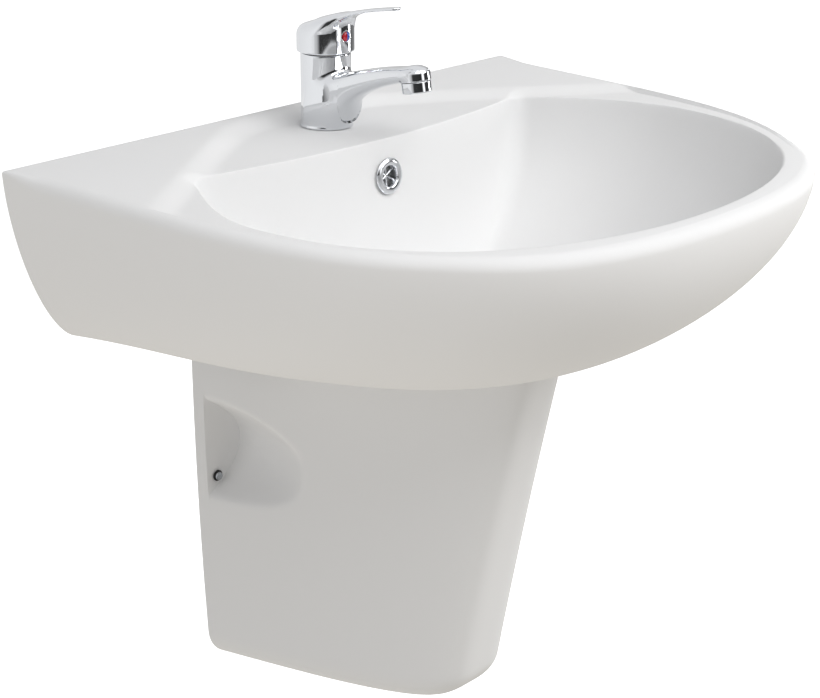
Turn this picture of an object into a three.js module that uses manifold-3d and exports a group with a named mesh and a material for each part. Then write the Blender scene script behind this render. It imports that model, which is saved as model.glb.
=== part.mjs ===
// Wall-hung washbasin with a semi-pedestal, single-lever mixer tap, click waste and bottle trap.
//
// Millimetres, +Z up. The wall is the plane Y = 0 and the basin stands out from it along -Y, so +X is
// the right-hand side seen from the front. The origin lies midway between the two wall bolt holes.

import * as THREE from 'three';
import { mergeVertices } from 'three/addons/utils/BufferGeometryUtils.js';
import Module from 'manifold-3d';

const wasm = await Module();
wasm.setup();

// ---------------------------------------------------------------- driving dimensions

const WIDTH = 600; // basin across the wall
const DEPTH = 468.7; // basin from the wall to its front
const RIM_Z = 75; // rim above the wall bolts
const RIM_FALL = 0.018; // fall of the rim towards the front, per unit of depth
const RIM_EDGE = 11; // radius of the rim's outer edge
const RIM_STEPS = 16;
const CHINA = 9; // wall thickness of the basin
const GAP = 0.3; // clearance between pieces that touch
const FACETS = 16; // sides of a turned piece

const BOLT_SPACING = 280;
const BOLT_RADIUS = 5;

const DECK_DROP = 8; // tap deck below the rim
const DECK_THICKNESS = 12;
const TAP_Y = -55;
const TAP_HOLE_RADIUS = 17.5;

const BOWL_DEPTH = 145;
const BOWL_STEPS = 18;
const WASTE_Y = -205;
const WASTE_BOSS_DROP = 188; // underside of the waste boss below the rim
const OVERFLOW_DROP = 40;
const OVERFLOW_Y = -127.4;
const OVERFLOW_RADIUS = 11.5;
const OVERFLOW_TILT = THREE.MathUtils.degToRad(5);

const SHROUD_TOP_DROP = 172; // height at which the shroud's top sizes are taken
const SHROUD_BOTTOM_DROP = 502.6;
const SHROUD_WALL = 10;
const SCOOP_DROP = 283; // centre of the side scoops below the rim
const SCOOP_SIZE = [38, 96, 47]; // depth into the side, reach from the wall, half height
const FLANGE = 12; // thickness of the scoop's wall flange
const PEDESTAL_SCREW_X = 99;
const PEDESTAL_SCREW_DROP = 315;

const SPOUT_REACH = 104;
const AERATOR_TILT = THREE.MathUtils.degToRad(10);
const PIVOT_H = 50; // lever pivot above the deck
const BALL_DROP = 10.6; // spindle's ball below the pivot
const SQUARE_FROM = 63.2; // height at which the spindle's lever square starts

// ---------------------------------------------------------------- finishes

const finish = (color, roughness, metalness) =>
  new THREE.MeshStandardMaterial({ color, roughness, metalness });
const china = finish(0xf1f1ee, 0.08, 0);
const chrome = finish(0xd6d8da, 0.06, 1);
const brass = finish(0xc2a15a, 0.3, 1);
const steel = finish(0x9a9ca0, 0.35, 1);
const rubber = finish(0x232323, 0.8, 0);
const nylon = finish(0xefefec, 0.45, 0);
const acetal = finish(0x4a5560, 0.5, 0);
const alumina = finish(0xe4dccb, 0.25, 0);
const indexRed = finish(0xb3202b, 0.3, 0);

// ---------------------------------------------------------------- geometry helpers

// Welds a geometry's seams, drops the empty triangles at a lathe's poles and turns the faces outwards.
function closed(geometry) {
  geometry.deleteAttribute('normal');
  geometry.deleteAttribute('uv');
  const welded = mergeVertices(geometry, 1e-4);
  const position = welded.getAttribute('position');
  const corner = (i) => new THREE.Vector3().fromBufferAttribute(position, i);
  const triangles = [];
  let volume = 0;
  for (let i = 0; i < welded.index.count; i += 3) {
    const [a, b, c] = [0, 1, 2].map((k) => welded.index.getX(i + k));
    if (a === b || b === c || c === a) continue;
    triangles.push([a, b, c]);
    volume += corner(a).dot(corner(b).cross(corner(c)));
  }
  const facing = volume < 0 ? triangles.map(([a, b, c]) => [a, c, b]) : triangles;
  welded.setIndex(facing.flat());
  return welded;
}

function solid(geometry) {
  const vertProperties = new Float32Array(geometry.getAttribute('position').array);
  const triVerts = new Uint32Array(geometry.index.array);
  return new wasm.Manifold(new wasm.Mesh({ numProp: 3, vertProperties, triVerts }));
}

function fromSolid(body) {
  const mesh = body.getMesh();
  const geometry = new THREE.BufferGeometry();
  geometry.setAttribute('position', new THREE.BufferAttribute(mesh.vertProperties, 3));
  geometry.setIndex(new THREE.BufferAttribute(mesh.triVerts, 1));
  return geometry;
}

const cut = (base, ...tools) =>
  fromSolid(tools.reduce((body, tool) => body.subtract(solid(tool)), solid(base)));
const join = (base, ...others) =>
  fromSolid(others.reduce((body, other) => body.add(solid(other)), solid(base)));
const overlap = (base, ...others) =>
  fromSolid(others.reduce((body, other) => body.intersect(solid(other)), solid(base)));

// A profile of [radius, height] pairs turned about +Z.
function turned(profile, segments = FACETS) {
  const points = profile.map(([radius, height]) => new THREE.Vector2(radius, height));
  return closed(new THREE.LatheGeometry(points, segments).rotateX(Math.PI / 2));
}

const disc = (radius, bottom, top, segments) =>
  turned([[0, bottom], [radius, bottom], [radius, top], [0, top]], segments);

const ring = (inner, outer, bottom, top, segments) =>
  turned([[inner, bottom], [outer, bottom], [outer, top], [inner, top], [inner, bottom]], segments);

const box = ([x0, x1], [y0, y1], [z0, z1]) =>
  closed(new THREE.BoxGeometry(x1 - x0, y1 - y0, z1 - z0)
    .translate((x0 + x1) / 2, (y0 + y1) / 2, (z0 + z1) / 2));

// A round bar from one point to another.
function bar(radius, from, to, segments = 12) {
  const start = new THREE.Vector3(...from);
  const along = new THREE.Vector3(...to).sub(start);
  const up = new THREE.Vector3(0, 0, 1);
  const turn = new THREE.Quaternion().setFromUnitVectors(up, along.clone().normalize());
  return disc(radius, 0, along.length(), segments)
    .applyQuaternion(turn)
    .translate(start.x, start.y, start.z);
}

// A flat outline in X and Z, given as [x, z] pairs, pushed along Y.
function plate(outline, y0, y1) {
  const shape = new THREE.Shape(outline.map(([x, z]) => new THREE.Vector2(x, z)));
  const slab = new THREE.ExtrudeGeometry(shape, { depth: y1 - y0, bevelEnabled: false });
  return closed(slab.rotateX(Math.PI / 2).translate(0, y1, 0));
}

// Closed rings of points joined in order, with a flat-filled cap at each end.
// The caps are filled in the plane of the two axes named.
function loft(rings, axes = ['x', 'y']) {
  const count = rings[0].length;
  const positions = rings.flat().flatMap((p) => [p.x, p.y, p.z]);
  const faces = [];
  for (let i = 0; i + 1 < rings.length; i += 1) {
    for (let j = 0; j < count; j += 1) {
      const next = (j + 1) % count;
      const [a, b, c, d] = [i * count + j, i * count + next, (i + 1) * count + next, (i + 1) * count + j];
      faces.push([a, b, c], [a, c, d]);
    }
  }
  const cap = (ringIndex, sameWay) => {
    const flat = rings[ringIndex].map((p) => new THREE.Vector2(p[axes[0]], p[axes[1]]));
    const way = Math.sign(THREE.ShapeUtils.area(flat)) * (sameWay ? 1 : -1);
    for (const [a, b, c] of THREE.ShapeUtils.triangulateShape(flat, [])) {
      const turn = Math.sign(THREE.ShapeUtils.area([flat[a], flat[b], flat[c]]));
      const [p, q, r] = [a, b, c].map((k) => k + ringIndex * count);
      faces.push(turn === way ? [p, q, r] : [p, r, q]);
    }
  };
  cap(0, false);
  cap(rings.length - 1, true);
  const geometry = new THREE.BufferGeometry();
  geometry.setAttribute('position', new THREE.Float32BufferAttribute(positions, 3));
  geometry.setIndex(faces.flat());
  return closed(geometry);
}

// Half an outline, from the wall to the middle of the front, completed by its mirror image.
function mirrored(half) {
  const left = half.slice(0, -1).reverse().map((p) => new THREE.Vector3(-p.x, p.y, p.z));
  return [...half, ...left];
}

const lerp = THREE.MathUtils.lerp;
const smooth = (s) => s * s * (3 - 2 * s);
const sinPower = (angle, power) => Math.max(Math.sin(angle), 0) ** power;
const cosPower = (angle, power) => Math.max(Math.cos(angle), 0) ** power;
const degrees = THREE.MathUtils.degToRad;

function path(...curves) {
  const whole = new THREE.CurvePath();
  for (const points of curves) {
    whole.add(new THREE.CubicBezierCurve(...points.map(([x, y]) => new THREE.Vector2(x, y))));
  }
  return whole;
}

const assembly = new THREE.Group();

function part(name, geometry, material, parent = assembly) {
  const mesh = new THREE.Mesh(geometry, material);
  mesh.name = name;
  parent.add(mesh);
  return mesh;
}

function group(x, y, z, turnX = 0) {
  const frame = new THREE.Group();
  frame.position.set(x, y, z);
  frame.rotation.x = turnX;
  assembly.add(frame);
  return frame;
}

const SIDES = [['left', -1], ['right', 1]];

// ---------------------------------------------------------------- basin

// Outer skin: the rim's outline sinks and draws in to a smaller foot on super-elliptic sections.
// A positive inset gives the same form drawn inwards, a negative one the form with a margin.
function basinSkin(inset = 0) {
  const rim = path(
    [[300, 0], [290.8, -153], [307.2, -275.7], [238.3, -366.3]],
    [[238.3, -366.3], [198.7, -418.4], [160.5, -468.7], [0, -DEPTH]],
  ).getSpacedPoints(RIM_STEPS);
  const half = (place) => mirrored(rim.map((p, i) => {
    const s = i / RIM_STEPS;
    const x = p.x * (1 - (2 * inset) / WIDTH);
    const y = p.y * (1 - inset / DEPTH);
    return place(x, y, s);
  }));

  const edge = [0, 45, 90].map(degrees).map((a) => half((x, y) => new THREE.Vector3(
    x * (1 - (RIM_EDGE * (1 - Math.sin(a)) * 2) / WIDTH),
    y * (1 - (RIM_EDGE * (1 - Math.sin(a))) / DEPTH),
    RIM_Z - inset + RIM_FALL * y - RIM_EDGE * (1 - Math.cos(a)),
  )));

  const side = [18, 32, 46, 60, 75, 90].map(degrees).map((a) => half((x, y, s) => {
    const power = 2 / (1.59 + 0.41 * smooth(s) ** 1.66);
    const inwards = 1 - cosPower(a, power);
    const down = sinPower(a, power);
    const foot = 150.5 + 30.7 * smooth(s) ** 2.23 - inset * 1.3;
    return new THREE.Vector3(
      x * lerp(1, lerp(0.789, 0.55, s), inwards),
      y * lerp(1, 0.426, inwards),
      RIM_Z - foot * down + (RIM_FALL * y - inset) * (1 - down),
    );
  }));

  const under = [0.68, 0.3].map((size) => side.at(-1).map((p) => new THREE.Vector3(
    p.x * size,
    p.y * size,
    lerp(RIM_Z - 185 + inset, p.z, size ** 1.5),
  )));
  return loft([...edge, ...side, ...under]);
}

// Bowl: the D-shaped opening shrinks towards the waste as it sinks. The back is steep, the front shallow.
// A margin gives the form of the china that surrounds it.
function bowlForm(margin = 0) {
  const opening = path(
    [[0, -125], [70, -125], [140, -114], [178, -106]],
    [[178, -106], [192, -103], [202, -106], [209, -120]],
    [[209, -120], [228, -150], [258, -190], [258, -235]],
    [[258, -235], [258, -360], [160, -444], [0, -444]],
  ).getSpacedPoints(BOWL_STEPS);
  const half = (place) => {
    const right = opening.map((p, i) => {
      const reach = Math.hypot(p.x, p.y - WASTE_Y);
      return place(p.x, p.y - WASTE_Y, reach, i / BOWL_STEPS);
    });
    const left = right.slice(1, -1).reverse().map((p) => new THREE.Vector3(-p.x, p.y, p.z));
    return [...right, ...left];
  };
  const lipRadius = 12;
  const lip = margin > 0 ? [] : [[14, -4], [12, 0], [5, 2], [1, 7]].map(([out, drop]) =>
    half((x, y, reach) => {
      const size = 1 + out / reach;
      return new THREE.Vector3(x * size, WASTE_Y + y * size,
        RIM_Z - drop + RIM_FALL * (WASTE_Y + y * size));
    }));
  const levels = [6, 20, 34, 48, 62, 78].map(degrees);
  const wall = levels.map((a) => half((x, y, reach, s) => {
    const power = 2 / lerp(2.5, 2.05, smooth(s));
    const size = cosPower(a, power) + margin / reach;
    const down = sinPower(a, power);
    const fall = RIM_FALL * (WASTE_Y + y) * (1 - down);
    const top = RIM_Z - (margin > 0 ? 0 : lipRadius * 0.3) * (1 - down);
    return new THREE.Vector3(x * size, WASTE_Y + y * size, top + fall - (BOWL_DEPTH + margin) * down);
  }));
  return loft([...lip, ...wall]);
}

// Shallow tap deck: a soft-edged dish, narrow at the wall and open to the bowl in front.
function deckDish() {
  const level = (out, drop) => {
    const outline = path(
      [[0, -11], [40, -11], [62, -9], [88, -17]],
      [[88, -17], [118, -28], [150, -62], [196, -102]],
      [[196, -102], [188, -128], [90, -150], [0, -150]],
    ).getSpacedPoints(10);
    const right = outline.map((p) => new THREE.Vector2(p.x, p.y));
    const middle = new THREE.Vector2(0, -95);
    const points = right.map((p) => {
      const away = p.clone().sub(middle);
      const moved = middle.clone().add(away.multiplyScalar(1 + out / away.length()));
      return new THREE.Vector3(moved.x, moved.y, RIM_Z - drop);
    });
    const left = points.slice(1, -1).reverse().map((p) => new THREE.Vector3(-p.x, p.y, p.z));
    return [...points, ...left];
  };
  return loft([level(3, -4), level(2, 0.4), level(-4, 3.2), level(-11, DECK_DROP - 1.4),
    level(-19, DECK_DROP)]);
}

function basin() {
  const top = (drop) => RIM_Z - drop;
  const boss = bar(38, [0, WASTE_Y, top(WASTE_BOSS_DROP)], [0, WASTE_Y, top(BOWL_DEPTH + 2)], 16);
  const duct = [
    box([-22, 22], [-122, -95], [top(172), top(27)]),
    box([-22, 22], [WASTE_Y, -95], [top(176), top(150)]),
  ];
  const hollow = cut(
    overlap(
      basinSkin(CHINA),
      box([-290, 290], [-430, -CHINA], [top(175), top(DECK_DROP + DECK_THICKNESS)]),
    ),
    bowlForm(CHINA), boss, ...duct,
  );
  const access = [
    box([-88, 88], [-92, -14], [top(200), top(120)]),
    ...SIDES.map(([, side]) => box([side * 165 - 43, side * 165 + 43], [-92, -14], [top(200), top(110)])),
  ];
  const channel = [
    bar(OVERFLOW_RADIUS, [0, -104, top(42)], [0, -140, top(OVERFLOW_DROP - 1)], 16),
    box([-11, 11], [-112, -101], [top(168), top(33)]),
    box([-11, 11], [WASTE_Y, -101], [top(168), top(157)]),
  ];
  const wasteHole = [
    bar(22.5, [0, WASTE_Y, top(195)], [0, WASTE_Y, top(100)], 16),
    bar(34, [0, WASTE_Y, top(BOWL_DEPTH + 5)], [0, WASTE_Y, top(120)], 16),
  ];
  const tapHole = bar(TAP_HOLE_RADIUS, [0, TAP_Y, top(40)], [0, TAP_Y, top(0)], 16);
  const boltHoles = SIDES.map(([, side]) =>
    bar(7, [(side * BOLT_SPACING) / 2, 5, 0], [(side * BOLT_SPACING) / 2, -25, 0]));
  return cut(
    join(basinSkin(), boss),
    bowlForm(), deckDish(), hollow, ...access, ...channel, ...wasteHole, tapHole, ...boltHoles,
  );
}

function overflowRing() {
  const bezel = turned([[8.6, -6], [10.8, -6], [10.8, 0.4], [15.6, 0.4], [15.2, 1.6], [12.2, 3],
    [9.4, 2.2], [8.6, 0.8], [8.6, -6]]);
  const web = [box([-9, 9], [-0.8, 0.8], [-5.5, -3.5]), box([-0.8, 0.8], [-9, 9], [-5.5, -3.5])];
  return join(bezel, ...web);
}

// ---------------------------------------------------------------- semi-pedestal

// Outline of the shroud at a drop below the rim: a super-ellipse whose sides draw in towards the front.
function shroudOutline(drop, inset = 0) {
  const g = (drop - SHROUD_TOP_DROP) / 318;
  const bow = 4 * g * (1 - g);
  const width = lerp(113.6, 103.8, g) + 2.9 * bow - inset;
  const depth = lerp(300, 231.1, g) - 3.1 * bow - inset;
  const steps = 10;
  return Array.from({ length: steps + 1 }, (_, i) => {
    const t = i / steps;
    const spread = t ** 1.9 / (t ** 1.9 + (1 - t) ** 1.9);
    const angle = spread * (Math.PI / 2);
    const out = depth * sinPower(angle, 2 / 3.84);
    return { x: (width - 0.2 * out) * cosPower(angle, 2 / 3.84), y: -out, width, depth };
  });
}

const shroudFloor = (y) => SHROUD_BOTTOM_DROP + 0.038 * y;

function shroudBody() {
  const straight = [140, 172, 260, 350, 430].map((drop) =>
    mirrored(shroudOutline(drop).map((p) => new THREE.Vector3(p.x, p.y, RIM_Z - drop))));
  const bottomRadius = 30;
  const rounded = [0, 30, 60, 90].map(degrees).map((a) => {
    const inset = bottomRadius * (1 - Math.cos(a));
    return mirrored(shroudOutline(472 + 25 * Math.sin(a)).map((p) => {
      const y = p.y * (1 - inset / p.depth);
      const drop = shroudFloor(y) - bottomRadius * (1 - Math.sin(a));
      return new THREE.Vector3(p.x * (1 - inset / p.width), y, RIM_Z - drop);
    }));
  });
  return loft([...straight, ...rounded]);
}

function shroudHollow() {
  const reachBack = 6;
  const level = (drop, inset) => mirrored(shroudOutline(drop, inset).map((p) => new THREE.Vector3(
    p.x,
    reachBack + p.y * ((p.depth + reachBack) / p.depth),
    RIM_Z - drop,
  )));
  const walls = [130, 172, 260, 350, 450].map((drop) => level(drop, SHROUD_WALL));
  return loft([...walls, level(480, SHROUD_WALL + 16)]);
}

function scoop(side, margin) {
  const [depth, reach, height] = SCOOP_SIZE.map((size) => size + margin);
  return closed(new THREE.SphereGeometry(1, 16, 10).rotateX(Math.PI / 2)
    .scale(depth, reach, height).translate(side * 113, -FLANGE, RIM_Z - SCOOP_DROP));
}

function semiPedestal() {
  const outside = [[-150, 150], [-330, -FLANGE], [-300, -100]];
  const hollow = cut(shroudHollow(), ...SIDES.map(([, side]) => scoop(side, 8)));
  const scoops = SIDES.map(([, side]) => overlap(scoop(side, 0), box(...outside)));
  const screwHoles = SIDES.map(([, side]) => bar(
    3.2,
    [side * PEDESTAL_SCREW_X, 5, RIM_Z - PEDESTAL_SCREW_DROP],
    [side * PEDESTAL_SCREW_X, -FLANGE - 5, RIM_Z - PEDESTAL_SCREW_DROP],
    10,
  ));
  const boss = bar(40, [0, WASTE_Y, RIM_Z - WASTE_BOSS_DROP - 2], [0, WASTE_Y, RIM_Z - 140], 16);
  return cut(shroudBody(), hollow, ...scoops, basinSkin(-1), boss, ...screwHoles);
}

// ---------------------------------------------------------------- wall fixings

const hexNut = (acrossFlats, bore, bottom, top) =>
  cut(disc(acrossFlats / Math.sqrt(3), bottom, top, 6), disc(bore, bottom - 1, top + 1, 12));

function basinFixing(name, side) {
  const frame = group((side * BOLT_SPACING) / 2, 0, 0, Math.PI / 2);
  const back = CHINA + GAP;
  part(`basin_bolt_${name}`, disc(BOLT_RADIUS, GAP, 42, 12), steel, frame);
  part(`basin_bolt_bush_${name}`, turned([[5.4, GAP], [6.6, GAP], [6.6, back], [14, back], [14, back + 3],
    [5.4, back + 3], [5.4, GAP]], 14), nylon, frame);
  part(`basin_bolt_washer_${name}`, ring(5.4, 15, back + 3.3, back + 5.3, 14), steel, frame);
  part(`basin_bolt_nut_${name}`, hexNut(17, 5.4, back + 5.6, back + 14), steel, frame);
}

function pedestalFixing(name, side) {
  const frame = group(side * PEDESTAL_SCREW_X, 0, RIM_Z - PEDESTAL_SCREW_DROP, Math.PI / 2);
  const seat = FLANGE + GAP;
  const head = seat + 1.5;
  part(`pedestal_screw_${name}`, turned([[0, GAP], [2.1, GAP], [2.1, head], [3.8, head], [3.4, head + 2],
    [0, head + 2.4]], 12), steel, frame);
  part(`pedestal_screw_washer_${name}`, ring(2.4, 5, seat, seat + 1.2, 12), rubber, frame);
}

// ---------------------------------------------------------------- tap body, below and above the deck

const tap = group(0, TAP_Y, RIM_Z - DECK_DROP);

// Cross-section of the spout or the lever in a plane across Y: a squarish oval.
function crossSection(y, halfWidth, bottom, top, squareness = 2.6, count = 12) {
  return Array.from({ length: count }, (_, i) => {
    const angle = (i / count) * 2 * Math.PI;
    const bend = (value) => Math.sign(value) * Math.abs(value) ** (2 / squareness);
    return new THREE.Vector3(
      halfWidth * bend(Math.cos(angle)),
      y,
      (top + bottom) / 2 + ((top - bottom) / 2) * bend(Math.sin(angle)),
    );
  });
}

function spout() {
  const stations = [ // y, half width, underside, top
    [0, 17, 3, 49],
    [-18, 18, 4, 50],
    [-26, 16.5, 8, 50.5],
    [-32, 15.2, 17, 51.2],
    [-40, 14, 27, 52.5],
    [-50, 13, 36, 54.8],
    [-64, 12.4, 44, 58],
    [-84, 12.2, 50, 62.4],
    [-SPOUT_REACH, 12.2, 54, 65],
  ];
  return loft(stations.map(([y, halfWidth, bottom, top]) => crossSection(y, halfWidth, bottom, top)),
    ['x', 'z']);
}

const AERATOR_H = 43.9;

// Places a piece drawn about the aerator's own axis at the end of the spout.
const atAerator = (geometry) =>
  geometry.rotateX(-AERATOR_TILT).translate(0, -SPOUT_REACH, AERATOR_H);

function tapBody() {
  const column = turned([[0, GAP], [22.4, GAP], [22.9, 1.2], [21.8, 5], [21.5, 12], [21.5, 62.6],
    [20.8, 63.8], [0, 63.8]], 20);
  const nose = atAerator(turned([[0, 9.3], [12.4, 9.3], [12.8, 12], [12.2, 18.5], [8.5, 21.4],
    [0, 22.4]]));
  const chamber = disc(18.1, 26, 70);
  const thread = disc(19.8, 56.2, 70);
  const waterway = bar(5.6, [0, -10, 33], [0, -SPOUT_REACH + 4, 57], 10);
  const outlet = atAerator(disc(11.2, 5, 17.6));
  const inlets = [-7.5, 7.5].map((x) => bar(4.6, [x, -5, -3], [x, -5, 27], 10));
  const studHole = bar(4.3, [0, 11, -3], [0, 11, 14], 10);
  const sealGroove = ring(17.4, 20.6, -1, 2.2);
  return cut(join(column, spout(), nose), chamber, thread, waterway, outlet, ...inlets, studHole,
    sealGroove);
}

// Horseshoe plate that clears the inlet pipes and hangs on the stud.
function horseshoe(bottom, top) {
  const slot = box([-10.5, 10.5], [-30, -4], [bottom - 1, top + 1]);
  return cut(disc(25, bottom, top), slot, bar(11, [0, -4, bottom - 1], [0, -4, top + 1], 14),
    bar(4.5, [0, 11, bottom - 1], [0, 11, top + 1], 10));
}

function tapFixing() {
  const under = -DECK_THICKNESS - GAP;
  part('tap_base_seal', ring(17.8, 20.2, GAP, 1.9), rubber, tap);
  part('tap_stud', bar(4, [0, 11, -58], [0, 11, 13]), steel, tap);
  part('tap_rubber_washer', horseshoe(under - 3, under), rubber, tap);
  part('tap_clamp_plate', horseshoe(under - 5.6, under - 3.3), steel, tap);
  part('tap_stud_nut', hexNut(12, 4.3, under - 22, under - 5.9).translate(0, 11, 0), brass, tap);
}

function aerator() {
  part('aerator_housing', atAerator(turned([[9.6, 0], [11.8, 0], [12.3, 0.8], [12.3, 9], [10.9, 9],
    [10.9, 14.6], [9.6, 14.6], [9.6, 0]])), chrome, tap);
  const holes = Array.from({ length: 6 }, (_, i) => {
    const angle = (i / 6) * 2 * Math.PI;
    return [5.4 * Math.cos(angle), 5.4 * Math.sin(angle)];
  });
  const bores = [[0, 0], ...holes].map(([x, y]) => bar(1.7, [x, y, 0], [x, y, 10], 6));
  const insert = cut(disc(9.3, 1.6, 8), ...bores);
  part('aerator_insert', atAerator(insert), acetal, tap);
  part('aerator_washer', atAerator(ring(8, 10.9, 15, 17)), rubber, tap);
}

// ---------------------------------------------------------------- cartridge, held in the tap body

function cartridge() {
  const ports = [[0, 8.5], [-7.4, -4.2], [7.4, -4.2]];
  const drill = (piece, bottom, top) =>
    cut(piece, ...ports.map(([x, y]) => bar(3, [x, y, bottom], [x, y, top], 10)));

  part('cartridge_seal', ring(13, 17, 26.3, 27.7), rubber, tap);
  part('cartridge_housing', drill(turned([[0, 28], [17.5, 28], [17.5, 55.9], [15.2, 55.9], [15.2, 31],
    [0, 31]]), 26, 33), nylon, tap);
  part('cartridge_fixed_disc', drill(disc(14.8, 31.3, 34), 30, 35), alumina, tap);
  const socket = cut(disc(11, 34.3, 41.2).translate(0, BALL_DROP * 0.19, 0), disc(3.3, 36.4, 45, 12));
  part('cartridge_moving_disc', socket, alumina, tap);

  const slot = box([-3.8, 3.8], [-7.2, 7.9], [40, 62]); // room for the spindle's swing
  const pinBore = bar(1.8, [-20, 0, PIVOT_H], [20, 0, PIVOT_H], 10);
  part('cartridge_carrier', cut(turned([[0, 43], [14.9, 43], [14.9, 55.6], [9.4, 55.6], [9.4, 60.5],
    [0, 60.5]]), slot, pinBore), acetal, tap);
  part('cartridge_pin', bar(1.5, [-13, 0, PIVOT_H], [13, 0, PIVOT_H], 8), steel, tap);

  const ball = closed(new THREE.SphereGeometry(2.6, 12, 8)
    .rotateX(Math.PI / 2)
    .translate(0, 0, PIVOT_H - BALL_DROP));
  const neck = box([-1.8, 1.8], [-1.8, 1.8], [39, 45]);
  const stem = join(
    ball,
    neck,
    box([-2.7, 2.7], [-2.7, 2.7], [44, SQUARE_FROM]),
    box([-3.5, 3.5], [-3.5, 3.5], [SQUARE_FROM, 84]),
  );
  part('cartridge_spindle', cut(stem, pinBore), brass, tap);

  part('cartridge_nut', cut(turned([[12, 56.2], [19.4, 56.2], [19.4, 62], [12, 62], [12, 56.2]]),
    box([-30, 30], [-2, 2], [60, 65])), brass, tap);
  part('cartridge_cover', turned([[13, 64.9], [19.2, 64.9], [19.2, 64.1], [20.2, 64.1], [20.2, 66],
    [19.6, 66.6], [13, 66.6], [13, 64.9]]), chrome, tap);
}

// ---------------------------------------------------------------- lever

function leverHandle() {
  const capBottom = 64.6;
  const capRadius = 24.6;
  const cylinder = turned([[0, capBottom], [capRadius - 0.8, capBottom], [capRadius, capBottom + 1],
    [capRadius, 110], [0, 110]], 24);
  // Crown in side view, as [y, height], and in front view, as [x, height].
  const crown = [[40, 60], [40, 70], [25.4, 75], [23.8, 79.6], [19.5, 84.4], [11, 89], [0, 92.8],
    [-12, 96.6], [-26, 100], [-40, 101], [-40, 60]];
  const brow = [[-40, 60], [-40, 74], [-25, 82], [-20, 89.5], [-12, 96], [0, 101], [12, 96], [20, 89.5],
    [25, 82], [40, 74], [40, 60]];
  const sideView = plate(crown, -40, 40).rotateZ(Math.PI / 2);
  const dome = overlap(cylinder, sideView, plate(brow, -40, 40));

  const stations = [ // y, half width, underside, top
    [-4, 15, 84, 93.4],
    [-14, 14.4, 86, 96.8],
    [-23, 12.6, 89.5, 99.6],
    [-30, 10.2, 95.4, 101.6],
    [-38, 8.4, 99.2, 103.6],
    [-50, 7.2, 102.4, 106],
    [-66, 6.2, 106, 109.2],
    [-78, 5.4, 108.2, 110.9],
    [-83.5, 4, 109.2, 111.2],
  ];
  const blade = loft(stations.map(([y, halfWidth, bottom, top]) => crossSection(y, halfWidth, bottom,
    top, 2.6, 12)), ['x', 'z']);

  const skirt = disc(22.3, 60, 70);
  const well = cut(turned([[0, 69], [22.3, 69], [16, 80], [0, 80]]), disc(7.5, 72.5, 90));
  const socket = box([-3.8, 3.8], [-3.8, 3.8], [60, 84.3]);
  const grubHole = bar(2.4, [0, 0, 79], [0, -30, 79], 10);
  const plugSeat = bar(4.3, [0, -23, 79], [0, -30, 79], 14);
  return cut(join(dome, blade), skirt, well, socket, grubHole, plugSeat);
}

function lever() {
  part('lever_handle', leverHandle(), chrome, tap);
  part('lever_grub_screw', bar(2.1, [0, -3.9, 79], [0, -12, 79], 8), steel, tap);
  part('index_plug', bar(4, [0, -23.3, 79], [0, -24.9, 79], 14), indexRed, tap);
}

// ---------------------------------------------------------------- click waste in the bowl's floor

const waste = group(0, WASTE_Y, RIM_Z - BOWL_DEPTH);

function clickWaste() {
  const tube = turned([[18.6, -74], [20.6, -74], [20.6, -3.2], [31.5, -3.2], [32.4, -1.6], [31, 0],
    [20, -1.6], [18.6, -3.6], [18.6, -74]]);
  const bridge = [box([-19.4, 19.4], [-2, 2], [-34, -28]), disc(9.4, -34, -28, 14)];
  const windows = [box([-30, 30], [-8, 8], [-23, -12]), box([-8, 8], [-30, 30], [-23, -12])];
  part('waste_body', cut(join(tube, ...bridge), ...windows, disc(6, -40, -20, 12)), chrome, waste);
  part('waste_top_seal', ring(21.4, 31, -4.7, -3.5), rubber, waste);
  part('waste_bottom_seal', turned([[20.9, -50], [30, -50], [27, -43.3], [20.9, -43.3],
    [20.9, -50]]), rubber, waste);
  part('waste_back_nut', cut(disc(33, -58.5, -50.3, 8), disc(20.9, -60, -49)), brass, waste);
  part('waste_latch', turned([[3.4, -40], [5.7, -40], [5.7, -27.7], [8.6, -27.7], [8.6, -9], [3.4, -9],
    [3.4, -40]], 14), acetal, waste);
  part('waste_plug', turned([[0, -36], [3, -36], [3, -8.6], [6.4, -8.6], [6.4, -1], [17.6, -1],
    [17.6, 0.4], [28.6, 1.2], [28.6, 2.2], [20, 4.8], [0, 6.2]]), chrome, waste);
  part('waste_plug_seal', ring(17.9, 22.4, -0.9, 0.1), rubber, waste);
}

// ---------------------------------------------------------------- bottle trap under the waste

const TRAP_OUTLET_DROP = 128; // trap outlet below the bowl's floor

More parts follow.
